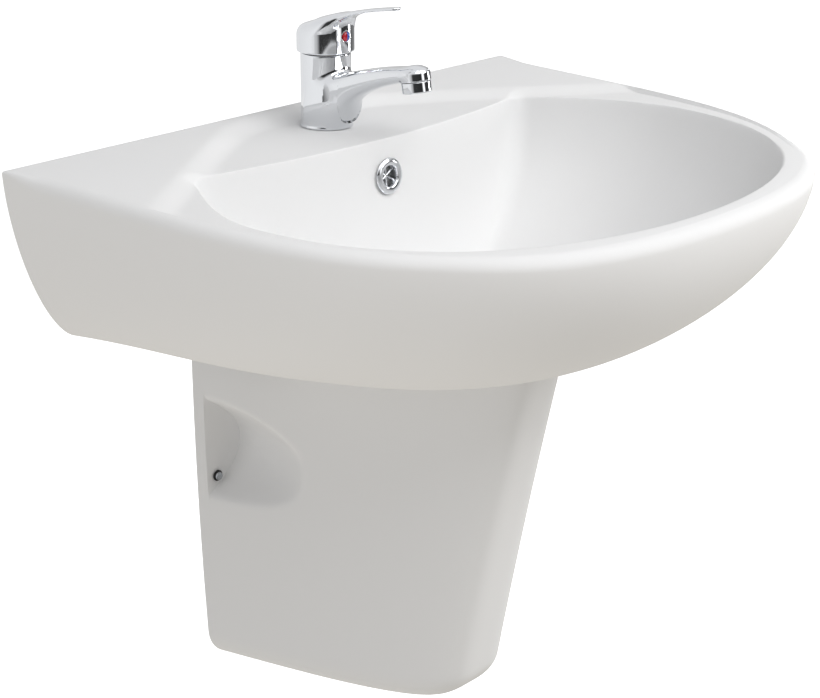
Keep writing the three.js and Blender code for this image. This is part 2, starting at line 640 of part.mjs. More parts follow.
function bottleTrap() {
  part('trap_inlet_nut', turned([[20.9, -66], [25.5, -66], [26, -72], [25, -84], [16.6, -84],
    [16.6, -80.6], [20.9, -80.6], [20.9, -66]]), nylon, waste);
  part('trap_inlet_washer', ring(15.6, 20.4, -76.4, -74.4), rubber, waste);
  part('trap_inlet_tube', turned([[13.8, -160], [16, -160], [16, -80], [20.4, -80], [20.4, -76.7],
    [13.8, -76.7], [13.8, -160]]), nylon, waste);
  part('trap_top_nut', turned([[16.5, -96], [24, -96], [24.6, -112], [21.6, -112], [21.6, -101],
    [16.5, -101], [16.5, -96]]), nylon, waste);
  part('trap_top_seal', ring(16.4, 21.2, -104, -101.3), rubber, waste);

  const shell = turned([[16.6, -104.3], [21.2, -104.3], [21.2, -112.3], [31, -114], [31, -152],
    [28, -152], [28, -116.5], [16.6, -114.5], [16.6, -104.3]]);
  const branch = bar(17, [0, 29, -TRAP_OUTLET_DROP], [0, 62, -TRAP_OUTLET_DROP], FACETS);
  const branchBore = bar(14, [0, 20, -TRAP_OUTLET_DROP], [0, 70, -TRAP_OUTLET_DROP], FACETS);
  part('trap_body', cut(join(shell, branch), branchBore), nylon, waste);
  part('trap_cup_seal', ring(28.2, 30.8, -154, -152.3), rubber, waste);
  part('trap_cup', turned([[0, -196], [22, -196], [28, -188], [30.8, -160], [34.4, -158], [34.4, -147],
    [31.4, -147], [31.4, -154.3], [27.8, -154.3], [25.4, -187], [0, -193]]), nylon, waste);

  const pipe = group(0, 0, RIM_Z - BOWL_DEPTH - TRAP_OUTLET_DROP, Math.PI / 2);
  const branchEnd = -WASTE_Y - 62;
  part('trap_outlet_washer', ring(13.4, 17.4, branchEnd - 2.3, branchEnd - GAP), rubber, pipe);
  part('trap_outlet_nut', turned([[17.4, branchEnd + 14], [21, branchEnd + 14], [21.6, branchEnd - 8],
    [16.4, branchEnd - 8], [16.4, branchEnd - 5], [17.7, branchEnd - 5],
    [17.4, branchEnd + 14]]), nylon, pipe);
  part('trap_outlet_pipe', turned([[13.8, GAP], [16, GAP], [16, branchEnd - 4.6], [17.4, branchEnd - 4.6],
    [17.4, branchEnd - 2.6], [13.8, branchEnd - 2.6], [13.8, GAP]]), nylon, pipe);
  part('wall_rosette', turned([[16.4, GAP], [33, GAP], [32, 3], [20, 9], [16.4, 9],
    [16.4, GAP]]), nylon, pipe);
}

// ---------------------------------------------------------------- assembly

part('basin', basin(), china);
part('semi_pedestal', semiPedestal(), china);
part('overflow_ring', overflowRing(), chrome,
  group(0, OVERFLOW_Y, RIM_Z - OVERFLOW_DROP, Math.PI / 2 - OVERFLOW_TILT));
for (const [name, side] of SIDES) {
  basinFixing(name, side);
  pedestalFixing(name, side);
}
part('tap_body', tapBody(), chrome, tap);
tapFixing();
aerator();
cartridge();
lever();
clickWaste();
bottleTrap();

export default assembly;
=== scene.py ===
"""A wall-hung washbasin with a semi-pedestal, mixer tap, click waste and bottle trap.

Metres, +Z up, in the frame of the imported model: the wall is the plane y = 0 and the basin stands out
from it along -y. Sizes in each section are in millimetres and turned to metres as a mesh is made.
"""

import math

import bmesh
import bpy
import numpy as np
from mathutils import Matrix, Vector


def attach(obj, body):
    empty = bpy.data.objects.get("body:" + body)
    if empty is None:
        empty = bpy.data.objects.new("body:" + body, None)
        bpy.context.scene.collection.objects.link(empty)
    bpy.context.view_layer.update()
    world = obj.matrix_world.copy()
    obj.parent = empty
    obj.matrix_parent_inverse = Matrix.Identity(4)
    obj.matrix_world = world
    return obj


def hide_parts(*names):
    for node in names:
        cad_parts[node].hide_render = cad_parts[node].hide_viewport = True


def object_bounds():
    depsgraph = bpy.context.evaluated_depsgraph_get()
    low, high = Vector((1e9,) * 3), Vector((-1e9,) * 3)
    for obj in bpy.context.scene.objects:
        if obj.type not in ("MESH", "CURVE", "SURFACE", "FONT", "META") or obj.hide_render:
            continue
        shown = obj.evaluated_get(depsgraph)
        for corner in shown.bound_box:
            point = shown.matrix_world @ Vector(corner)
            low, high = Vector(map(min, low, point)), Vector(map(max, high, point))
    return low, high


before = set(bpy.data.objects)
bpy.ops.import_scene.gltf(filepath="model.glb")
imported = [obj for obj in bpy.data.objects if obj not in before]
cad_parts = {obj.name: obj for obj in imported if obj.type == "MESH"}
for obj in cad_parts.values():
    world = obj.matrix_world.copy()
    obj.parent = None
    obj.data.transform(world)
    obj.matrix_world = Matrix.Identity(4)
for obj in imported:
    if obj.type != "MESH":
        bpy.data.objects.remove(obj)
cad_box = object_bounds()


# ---------------------------------------------------------------- camera, floor and studio light
# The viewer stands in front of the basin and to its left, a little above the rim. The room is a
# pale studio: a soft light overhead, a white sweep behind and to the left, and dark space in front,
# which is what gives polished chrome its dark reflections.

VIEWER = Vector((-1.1970, -1.2233, 0.4695))
LOOKS_AT = Vector((-0.0355, -0.1839, -0.0959))
VIEWER_ROLL = math.radians(0.24)
LENS = 87.7

camera = bpy.data.objects.new("camera", bpy.data.cameras.new("camera"))
camera.data.lens = LENS
camera.data.sensor_width = 36
camera.data.clip_end = 50
facing = (LOOKS_AT - VIEWER).to_track_quat("-Z", "Y").to_matrix().to_4x4()
camera.matrix_world = Matrix.Translation(VIEWER) @ facing @ Matrix.Rotation(VIEWER_ROLL, 4, "Z")
bpy.context.scene.collection.objects.link(camera)
bpy.context.scene.camera = camera

scene = bpy.context.scene
scene.view_settings.view_transform = "Standard"
scene.view_settings.look = "None"


def linear(code):
    """An sRGB colour such as "#f4f4f1" as linear red, green, blue and an alpha of one."""
    parts = np.array([int(code[i:i + 2], 16) for i in (1, 3, 5)]) / 255
    low, high = parts / 12.92, ((parts + 0.055) / 1.055) ** 2.4
    return (*np.where(parts <= 0.04045, low, high).tolist(), 1.0)


def node(tree, kind, inputs=None, **settings):
    """Adds a node. settings are its own properties, and inputs are values or other nodes' sockets."""
    new = tree.nodes.new(kind)
    for name, value in settings.items():
        setattr(new, name, value)
    for socket, value in (inputs or {}).items():
        if isinstance(value, bpy.types.NodeSocket):
            tree.links.new(value, new.inputs[socket])
        else:
            new.inputs[socket].default_value = value
    return new


FLOOR_DROP = 0.85  # the rim of a washbasin is hung 850 mm above the floor
LEVER_RISE = 0.1  # the lever's top stands about this far above the rim
FLOOR_SIZE = 12.0

bpy.ops.mesh.primitive_plane_add(size=FLOOR_SIZE, location=(0, 0, cad_box[1][2] - FLOOR_DROP - LEVER_RISE))
floor = bpy.context.object
floor.name = "floor"
floor.visible_glossy = False
floor.visible_diffuse = False
floor_white = bpy.data.materials.new("lit_white_sweep")
floor_white.use_nodes = True
shader = floor_white.node_tree.nodes["Principled BSDF"]
shader.inputs["Base Color"].default_value = linear("#f6f6f6")
shader.inputs["Roughness"].default_value = 0.9
shader.inputs["Emission Color"].default_value = (1, 1, 1, 1)
shader.inputs["Emission Strength"].default_value = 0.9
floor.data.materials.append(floor_white)


def softbox(name, place, aim, size, power):
    """A square studio light at a place, aimed at a point."""
    lamp = bpy.data.objects.new(name, bpy.data.lights.new(name, "AREA"))
    lamp.data.shape = "RECTANGLE"
    lamp.data.size, lamp.data.size_y = size
    lamp.data.energy = power
    turn = (Vector(aim) - Vector(place)).to_track_quat("-Z", "Y").to_matrix().to_4x4()
    lamp.matrix_world = Matrix.Translation(place) @ turn
    scene.collection.objects.link(lamp)
    return lamp


softbox("overhead_light", (-0.3, -1.6, 2.0), (0, -0.2, 0), (2.2, 1.6), 30)
softbox("key_light", (1.1, -2.0, 1.5), (0, -0.2, 0), (1.4, 1.2), 23)
softbox("window_light", (1.7, -0.95, 0.1), (0, -0.15, 0), (0.3, 1.0), 11)
front_fill = softbox("front_fill", (-1.9, -1.9, 0.0), (0, -0.2, -0.2), (1.0, 1.2), 8)
left_fill = softbox("left_fill", (-2.2, 0.3, 0.2), (0, -0.1, -0.1), (1.2, 1.6), 6)
front_fill.visible_glossy = left_fill.visible_glossy = False

room = bpy.data.worlds.new("studio")
room.use_nodes = True
scene.world = room
tree = room.node_tree
tree.nodes.clear()
looking = node(tree, "ShaderNodeTexCoord").outputs["Generated"]
axes = node(tree, "ShaderNodeSeparateXYZ", {0: looking})
bearing = node(tree, "ShaderNodeMath", {0: axes.outputs["Y"], 1: axes.outputs["X"]}, operation="ARCTAN2")
turn = node(tree, "ShaderNodeMapRange", {0: bearing.outputs[0], 1: -math.pi, 2: math.pi, 3: 0.0, 4: 1.0})
around = node(tree, "ShaderNodeValToRGB", {0: turn.outputs[0]})
# Round the room from the -x side through the front (-y), the right (+x) and the wall (+y).
STOPS = [(0.0, 0.8), (0.03, 0.6), (0.06, 0.05), (0.24, 0.03), (0.265, 1.6), (0.29, 1.6), (0.31, 0.03),
         (0.42, 0.08), (0.56, 0.35), (0.68, 0.95), (0.95, 1.1), (1.0, 0.95)]
ramp = around.color_ramp
while len(ramp.elements) < len(STOPS):
    ramp.elements.new(0.5)
for element, (place, level) in zip(ramp.elements, STOPS):
    element.position = place
    element.color = (level, level, level, 1)
height = node(tree, "ShaderNodeMapRange", {0: axes.outputs["Z"], 1: 0.2, 2: 0.6, 3: 0.0, 4: 1.0})
sky = node(tree, "ShaderNodeMix",
           {0: height.outputs[0], 6: around.outputs["Color"], 7: (0.95, 0.95, 0.96, 1)}, data_type="RGBA")
depth = node(tree, "ShaderNodeMapRange", {0: axes.outputs["Z"], 1: -0.02, 2: -0.75, 3: 0.0, 4: 1.0})
all_round = node(tree, "ShaderNodeMix", {0: depth.outputs[0], 6: sky.outputs[2], 7: (2.2, 2.1, 1.93, 1)},
                 data_type="RGBA")
# Matt surfaces are lit softly by it, polished ones mirror it brighter, and behind the basin it is white.
kind = node(tree, "ShaderNodeLightPath")
lighting = node(tree, "ShaderNodeBackground", {"Color": all_round.outputs[2], "Strength": 0.4})
mirrored = node(tree, "ShaderNodeBackground", {"Color": sky.outputs[2], "Strength": 0.95})
backdrop = node(tree, "ShaderNodeBackground", {"Color": (1, 1, 1, 1), "Strength": 1.0})
unseen = node(tree, "ShaderNodeMixShader",
              {0: kind.outputs["Is Diffuse Ray"], 1: mirrored.outputs[0], 2: lighting.outputs[0]})
light = node(tree, "ShaderNodeMixShader",
             {0: kind.outputs["Is Camera Ray"], 1: unseen.outputs[0], 2: backdrop.outputs[0]})
node(tree, "ShaderNodeOutputWorld", {"Surface": light.outputs[0]})


# ---------------------------------------------------------------- basin
# The basin is one casting of vitreous china, slip cast hollow in a plaster mould, then glazed white
# all over and fired. Every visible edge is soft, because the glaze and the mould both round it.

MM = 0.001
WIDTH, DEPTH = 600.0, 468.7
RIM_Z = 75.0
RIM_FALL = 0.018  # the rim falls towards the front
EDGE = 11.0  # radius of the rim's outer edge
WALL_EDGE = 2.5  # radius of its edge against the wall
LIP = 12.0  # radius of the lip into the bowl
BOWL_DEPTH = 145.0
WASTE_Y = -205.0
DECK_Z = 67.0  # the tap deck, dished below the rim
TAP_Y = -55.0
TAP_HOLE = 17.5
OVERFLOW_Y, OVERFLOW_Z = -127.4, 35.0
OVERFLOW_BORE = 11.5
BOLT_X = 140.0

RIM_CURVES = [
    [(300, 0), (290.8, -153), (307.2, -275.7), (238.3, -366.3)],
    [(238.3, -366.3), (198.7, -418.4), (160.5, -468.7), (0, -DEPTH)],
]
BOWL_CURVES = [
    [(0, -125), (70, -125), (140, -114), (178, -106)],
    [(178, -106), (192, -103), (202, -106), (209, -120)],
    [(209, -120), (228, -150), (258, -190), (258, -235)],
    [(258, -235), (258, -360), (160, -444), (0, -444)],
]


def bezier_path(curves, count=200):
    """Points along joined cubic Beziers: each is the cubic Bernstein mix of its four control points."""
    t = np.linspace(0, 1, count)[:, None]
    pieces = [(1 - t) ** 3 * a + 3 * (1 - t) ** 2 * t * b + 3 * (1 - t) * t ** 2 * c + t ** 3 * d
              for a, b, c, d in np.array(curves, float)]
    return np.concatenate([pieces[0]] + [piece[1:] for piece in pieces[1:]])


def ease(s):
    """Smooth step of s held to 0..1: 3 s^2 - 2 s^3."""
    s = np.clip(s, 0, 1)
    return s * s * (3 - 2 * s)


def soft_max(a, b, width):
    """The greater of a and b, with the change from one to the other rounded over a width."""
    return 0.5 * (a + b + np.sqrt((a - b) ** 2 + width ** 2))


def finish_mesh(name, points, faces, crease=40.0):
    """Makes an object from points in millimetres: doubles merged, faces turned outwards, smooth shaded
    except along edges sharper than the crease angle."""
    mesh = bpy.data.meshes.new(name)
    mesh.from_pydata(np.asarray(points, float) * MM, [], [])
    faces = np.asarray(faces, np.int32)
    corners = faces.shape[1]
    mesh.loops.add(faces.size)
    mesh.loops.foreach_set("vertex_index", faces.ravel())
    mesh.polygons.add(len(faces))
    mesh.polygons.foreach_set("loop_start", np.arange(0, faces.size, corners, dtype=np.int32))
    mesh.update(calc_edges=True)
    work = bmesh.new()
    work.from_mesh(mesh)
    bmesh.ops.remove_doubles(work, verts=work.verts, dist=2e-6)
    bmesh.ops.recalc_face_normals(work, faces=work.faces)
    work.to_mesh(mesh)
    work.free()
    mesh.shade_smooth()
    mesh.set_sharp_from_angle(angle=math.radians(crease))
    piece = bpy.data.objects.new(name, mesh)
    scene.collection.objects.link(piece)
    return piece


def grid_faces(rows, columns, around=True, start=0):
    """Quads between the rows of a grid, joined round from the last column to the first if around."""
    r, c = np.meshgrid(np.arange(rows - 1), np.arange(columns if around else columns - 1), indexing="ij")
    a, b = r * columns + c, r * columns + (c + 1) % columns
    return start + np.stack([a, b, b + columns, a + columns], axis=-1).reshape(-1, 4)


# Bearings of the grid's columns about the waste, from the middle of the back round to the right and
# on to the front: closer together at the back, where the deck and the bowl's corners need them.
corner = math.atan2(-WASTE_Y, WIDTH / 2)
BACK_COLUMNS, FRONT_COLUMNS = 140, 118
back = np.linspace(math.pi / 2, corner, BACK_COLUMNS, endpoint=False)
front = corner - (corner + math.pi / 2) * np.linspace(0, 1, FRONT_COLUMNS) ** 1.25
half_bearing = np.concatenate([back, front])
bearing = np.concatenate([half_bearing, math.pi - half_bearing[1:-1][::-1]])
side_of = np.where(np.arange(len(bearing)) < len(half_bearing), 1.0, -1.0)
bearing_right = np.concatenate([half_bearing, half_bearing[1:-1][::-1]])


def outline(curves):
    """Reach of an outline from the waste at each column's bearing, and how far along it that lies."""
    path = bezier_path(curves)
    steps = np.hypot(*np.diff(path, axis=0).T)
    along = np.concatenate([[0], np.cumsum(steps)]) / steps.sum()
    angle = np.arctan2(path[:, 1] - WASTE_Y, path[:, 0])
    reach = np.hypot(path[:, 0], path[:, 1] - WASTE_Y)
    order = np.argsort(angle)
    return (np.interp(bearing_right, angle[order], reach[order]),
            np.interp(bearing_right, angle[order], along[order]))


def rim_outline():
    """Plan of the rim at each column: the curved side, and the straight back along the wall."""
    reach, share = outline(RIM_CURVES)
    x, y = reach * np.cos(bearing_right), WASTE_Y + reach * np.sin(bearing_right)
    at_back = bearing_right >= corner
    x = np.where(at_back, -WASTE_Y / np.tan(bearing_right), x)
    return x * side_of, np.where(at_back, 0.0, y), np.where(at_back, 0.0, share)


def skin_rows(grow=0.0):
    """Outside of the basin. The rim turns over a quarter circle, then the outline draws in to the foot:
    at depth v of the foot's it has come in by 1 - (1 - v^m)^(1/m) of the way."""
    x, y, share = rim_outline()
    x, y = x * (1 + 2 * grow / WIDTH), y * (1 + grow / DEPTH)
    round_edge = WALL_EDGE + (EDGE - WALL_EDGE) * ease(-y / 40)
    angles = np.radians(np.linspace(0, 90, 9))
    turns = np.stack([(round_edge * (1 - np.sin(a)), round_edge * (1 - np.cos(a))) for a in angles])
    foot = 150.5 + 30.7 * ease(share) ** 2.23 + 1.3 * grow
    power = 1.59 + 0.41 * ease(share) ** 1.66
    down = np.sin(np.linspace(0, math.pi / 2, 46)[1:])[:, None] ** (2 / power) * (foot - round_edge)
    drop = np.concatenate([turns[:, 1], round_edge + down])
    out = np.concatenate([turns[:, 0], np.zeros_like(down)])
    v = np.clip(drop / foot, 0, 1)
    inwards = 1 - np.clip(1 - v ** power, 0, None) ** (1 / power)
    narrow = 0.789 + (0.55 - 0.789) * share
    px = x * (1 - 2 * out / WIDTH) * (1 + (narrow - 1) * inwards)
    edge_y = y * (1 - out / DEPTH) - np.minimum(out, WALL_EDGE) * (1 + y / DEPTH) * (y > -40)
    py = edge_y * (1 + (0.426 - 1) * inwards)
    pz = RIM_Z + grow - drop + RIM_FALL * y * (1 - v)
    return np.stack([px, py, pz], axis=-1)


def underside_rows(skin, grow=0.0):
    """Underside from the foot in to the waste boss: the foot's outline shrinks about the boss."""
    size = np.linspace(1, 0, 15)[1:-1, None]
    foot = skin[-1]
    centre = np.array([0, WASTE_Y, RIM_Z - 185 - grow])
    boss = np.stack([38 * np.cos(bearing_right) * side_of, WASTE_Y + 38 * np.sin(bearing_right)], axis=-1)
    plan = boss + (foot[:, :2] - boss) * size[..., None]
    level = centre[2] + (foot[:, 2] - centre[2]) * size ** 1.5
    return np.concatenate([plan, level[..., None]], axis=-1), boss, centre[2]


def deck_level(x, y, z):
    """Height of the top where the tap deck is dished: flat on the deck, and eased up to the rim along the
    wall and along the two slanting sides."""
    from_wall = -7 - y
    from_side = (93 - 0.689 * np.abs(x) - (y + 45)) / 1.214
    inside = -soft_max(-from_wall, -from_side, 14)
    return z + (DECK_Z - z) * ease(inside / 26)


def basin_rows():
    """The whole closed surface, from the underside of the waste boss up the waste hole, out over the
    bowl, lip, deck and rim, down the skin and back in under the foot."""
    reach, share = outline(BOWL_CURVES)
    ray = np.stack([np.cos(bearing_right) * side_of, np.sin(bearing_right)], axis=-1)
    power = 2.5 + (2.05 - 2.5) * ease(share)
    top = RIM_Z + RIM_FALL * (WASTE_Y + reach * ray[:, 1])

    angle = np.linspace(math.pi / 2, 0, 54)[:, None]
    v = np.sin(angle) ** (2 / power)
    v = LIP / BOWL_DEPTH + v * (1 - LIP / BOWL_DEPTH)
    size = np.clip(1 - v ** power, 0, None) ** (1 / power)
    bowl_reach = np.maximum(size * reach, 34.5)
    keep = (size * reach).min(axis=1) > 36
    bowl_reach, v = bowl_reach[keep], v[keep]
    bowl_z = RIM_Z - BOWL_DEPTH * v + (top - RIM_Z) * (1 - v)

    turn = np.radians(np.linspace(90, 0, 12))[1:, None]
    lip_reach = reach + LIP * (1 - np.sin(turn))
    lip_drop = LIP * (1 - np.cos(turn))
    lip_v = lip_drop / BOWL_DEPTH
    lip_reach = lip_reach - reach * (1 - (1 - lip_v ** power) ** (1 / power))
    lip_z = top - lip_drop

    inner_reach = np.concatenate([bowl_reach, lip_reach])
    inner_z = np.concatenate([bowl_z, lip_z])
    inner = np.stack([inner_reach * ray[:, 0], WASTE_Y + inner_reach * ray[:, 1], inner_z], axis=-1)

    skin = skin_rows()
    across = np.linspace(0, 1, 46)[1:-1, None]
    top_plan = inner[-1, :, :2] + (skin[0, :, :2] - inner[-1, :, :2]) * across[..., None]
    top_z = RIM_Z + RIM_FALL * top_plan[..., 1]
    top_rows = np.concatenate([top_plan, top_z[..., None]], axis=-1)

    upper = np.concatenate([inner, top_rows, skin[:1]])
    sunk = deck_level(upper[..., 0], upper[..., 1], upper[..., 2].clip(RIM_Z - 12))
    fade = ease(1 - (RIM_Z - upper[..., 2]) / 75)
    upper[..., 2] += (sunk - upper[..., 2].clip(RIM_Z - 12)) * fade

    under, boss, boss_z = underside_rows(skin)
    hole = []
    for radius, drop in [(22.5, 188), (22.5, 152), (23.5, 150), (33, 150), (34, 149), (34.2, 146)]:
        hole.append(np.stack([radius * ray[:, 0], WASTE_Y + radius * ray[:, 1],
                              np.full(len(bearing), RIM_Z - drop)], axis=-1))
    boss_rows = [np.stack([boss[:, 0], boss[:, 1], np.full(len(bearing), z)], axis=-1)
                 for z in (boss_z, RIM_Z - 187)]
    edge = boss_rows[1].copy()
    edge[:, :2] = np.array([0, WASTE_Y]) + (boss - np.array([0, WASTE_Y])) * (37 / 38)
    edge[:, 2] = RIM_Z - 188
    return np.concatenate([np.stack(hole), upper, skin[1:], under, np.stack(boss_rows), edge[None]])


def carve(piece, *tools):
    """Cuts closed tool objects out of a piece, applies the result and deletes the tools."""
    for tool in tools:
        cut = piece.modifiers.new("cut", "BOOLEAN")
        cut.object, cut.operation, cut.solver = tool, "DIFFERENCE", "MANIFOLD"
    result = bpy.data.meshes.new_from_object(piece.evaluated_get(bpy.context.evaluated_depsgraph_get()))
    piece.modifiers.clear()
    piece.data = result
    result.shade_smooth()
    result.set_sharp_from_angle(angle=math.radians(40))
    for tool in tools:
        bpy.data.objects.remove(tool)


def from_grid(name, rows, crease=40.0):
    """A closed object from a grid that joins round and ends in points or flat rows at both ends."""
    return finish_mesh(name, rows.reshape(-1, 3), grid_faces(*rows.shape[:2]), crease)


def rod(name, radius, start, end, segments=64):
    """A straight round bar between two points: circles across its axis, closed by a point at each end."""
    start, end = np.array(start, float), np.array(end, float)
    axis = (end - start) / np.linalg.norm(end - start)
    side = np.cross(axis, [0, 0, 1] if abs(axis[2]) < 0.9 else [1, 0, 0])
    side /= np.linalg.norm(side)
    up = np.cross(axis, side)
    turn = np.linspace(0, 2 * math.pi, segments, endpoint=False)[:, None]
    ring = radius * (np.cos(turn) * side + np.sin(turn) * up)
    return from_grid(name, np.stack([start + 0 * ring, start + ring, end + ring, end + 0 * ring]), 30)


def rounded_box(name, low, high, radius):
    """A box with rounded upright corners: a super-ellipse outline, straight up, with a flat lid."""
    turn = np.linspace(0, 2 * math.pi, 96, endpoint=False)
    low, high = np.array(low, float), np.array(high, float)
    half = (high - low) / 2
    corner = np.stack([np.cos(turn), np.sin(turn)], axis=-1)
    plan = np.clip(corner * 2, -1, 1) * (half[:2] - radius) + corner * radius + (low + half)[:2]
    level = np.array([low[2], low[2], high[2], high[2]])
    size = np.array([0, 1, 1, 0])[:, None, None]
    centre = (low + half)[:2]
    height = np.broadcast_to(level[:, None, None], (4, 96, 1))
    rows = np.concatenate([centre + (plan - centre) * size, height], axis=-1)
    return from_grid(name, rows, 30)


rows = basin_rows()
loops = len(rows)
faces = grid_faces(loops, rows.shape[1])
closing = np.arange(rows.shape[1])
nearest = (closing + 1) % rows.shape[1]
last = (loops - 1) * rows.shape[1]
faces = np.concatenate([faces, np.stack([last + closing, last + nearest, nearest, closing], axis=-1)])
basin = finish_mesh("china_basin", rows.reshape(-1, 3), faces, crease=50)
carve(
    basin,
    rounded_box("fixing_space", (-208, -92, -130), (208, -14, RIM_Z - 20), 22),
    rod("tap_hole", TAP_HOLE, (0, TAP_Y, 40), (0, TAP_Y, 80)),
    rod("overflow_hole", OVERFLOW_BORE, (0, -104, 33), (0, -140, 36.2)),
    rounded_box("overflow_channel", (-11, -112, RIM_Z - 168), (11, -101, RIM_Z - 33), 3),
    *(rod("bolt_hole", 7, (s * BOLT_X, 5, 0), (s * BOLT_X, -25, 0)) for s in (-1, 1)),
)
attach(basin, "root")
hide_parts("basin")


def new_finish(name):
    """A new material, its node tree, its shader and the piece's own coordinates."""
    made = bpy.data.materials.new(name)
    made.use_nodes = True
    tree = made.node_tree
    return made, tree, tree.nodes["Principled BSDF"], node(tree, "ShaderNodeTexCoord").outputs["Object"]


# The glaze is a clear glass over a white body: bright, hard and very smooth, with a slow unevenness
# of a few hundredths of a millimetre where it ran in the kiln.
GLAZE_WAVE = 0.055  # metres from one swell of the glaze to the next

glaze, tree, shader, where = new_finish("white_glazed_vitreous_china")
swell = node(tree, "ShaderNodeTexNoise", {"Vector": where, "Scale": 1 / GLAZE_WAVE, "Detail": 1.0})
tone = node(tree, "ShaderNodeMix", {0: swell.outputs["Fac"], 6: linear("#eeeeeb"), 7: linear("#f3f3f1")},
            data_type="RGBA")
tree.links.new(tone.outputs[2], shader.inputs["Base Color"])
ripple = node(tree, "ShaderNodeBump",
              {"Height": swell.outputs["Fac"], "Strength": 0.05, "Distance": 0.0004})
tree.links.new(ripple.outputs["Normal"], shader.inputs["Normal"])
shader.inputs["Roughness"].default_value = 0.04
shader.inputs["IOR"].default_value = 1.52
basin.data.materials.append(glaze)


# ---------------------------------------------------------------- semi-pedestal
# The shroud hides the trap and hangs under the basin. It is cast in the same china, open at the back
# and top, and a screw on each side holds its flange to the wall, reached through a scoop in the side.

SHROUD_TOP = 140.0  # drops below the rim
SHROUD_FLOOR = 502.6
FLOOR_RISE = 0.038  # the floor rises towards the wall, per unit of depth
SHROUD_WALL = 10.0
SHROUD_TURN = 30.7  # radius of the bottom edge
SQUARENESS = 3.84
FLANGE = 12.0
SCOOP_DROP, SCOOP_DEPTH, SCOOP_REACH, SCOOP_HALF = 285.0, 40.0, 96.0, 46.0
SCOOP_SCREW = (99.0, RIM_Z - 315)
SCOOP_WALL = 8.0  # china between the scoop and the hollow
SCOOP_END = 118.0  # distance from the wall past the scoop
SCOOP_ROWS = (232.0, 342.0)  # drops between which the rows lie close, past the scoop
HOLLOW_OVER, HOLLOW_FLOOR = 10.0, 20.0  # how far the hollow runs over the top and stops above the bottom
FLOOR_AT = 470.0  # drop at which the plan of the bottom is taken


def scoop_depth(away, drop, wall):
    """Depth of the side scoop at a distance from the wall and a drop: a dome over a rounded outline that
    is square below and round above, cut off square by the flange. wall widens it for the inside."""
    ahead = np.maximum(away - FLANGE, 0) / (SCOOP_REACH + wall)
    up = (SCOOP_DROP - drop) / (SCOOP_HALF + wall)
    power = 2.35 - 0.55 * np.tanh(3 * up)
    inside = 1 - (ahead ** power + np.abs(up) ** power) ** (2 / power)
    dome = (SCOOP_DEPTH + wall) * np.where(inside > -1, inside, -1)
    soft = soft_max(dome, 0, 3.5) - 3.5 ** 2 / 4 / (SCOOP_DEPTH + wall)
    step = 1.0 if wall else ease((away - FLANGE + 1.2) / 1.4)
    return np.maximum(soft, 0) * step


def shroud_plan(drop, share, wall):
    """Outline of the shroud at a drop: a super-ellipse whose sides draw in towards the front. Columns lie
    at fixed distances from the wall past the scoop, and by angle round the front."""
    g = (np.minimum(drop, 497) - 172) / 318  # 0 and 1 at the two drops between which the sides were set
    bow = 4 * g * (1 - g)
    half = 113.6 + (103.8 - 113.6) * g + 2.9 * bow - wall
    reach = 300 + (231.1 - 300) * g - 3.1 * bow - wall
    turn = 0.84  # where the side starts to turn into the front
    past_scoop = SCOOP_END + (turn * reach - SCOOP_END) * (share - 1)
    by_side = np.where(share < 1, beside_scoop(share), past_scoop)
    start = np.arcsin(turn ** (SQUARENESS / 2))
    angle = start + (math.pi / 2 - start) * np.clip(share - 2, 0, 1) ** 0.8
    away = np.where(share < 2, by_side, reach * np.sin(angle) ** (2 / SQUARENESS))
    flat = np.clip(1 - (away / reach) ** SQUARENESS, 0, None) ** (1 / SQUARENESS)
    return (half - 0.2 * away) * flat, away, half, reach


stations = np.concatenate([np.linspace(0, 10.4, 6), np.linspace(10.8, 12.8, 12),
                           np.linspace(14, SCOOP_END, 50)])


def beside_scoop(share):
    """Distance from the wall of the columns beside the scoop, packed close at the flange's face."""
    return np.interp(share, np.linspace(0, 1, len(stations)), stations)


# Share of a column: 0 to 1 beside the scoop, 1 to 2 along the side and 2 to 3 round the front.
column_share = np.concatenate([np.linspace(0, 1, len(stations)), np.linspace(1, 2, 24)[1:],
                               np.linspace(2, 3, 44)[1:]])


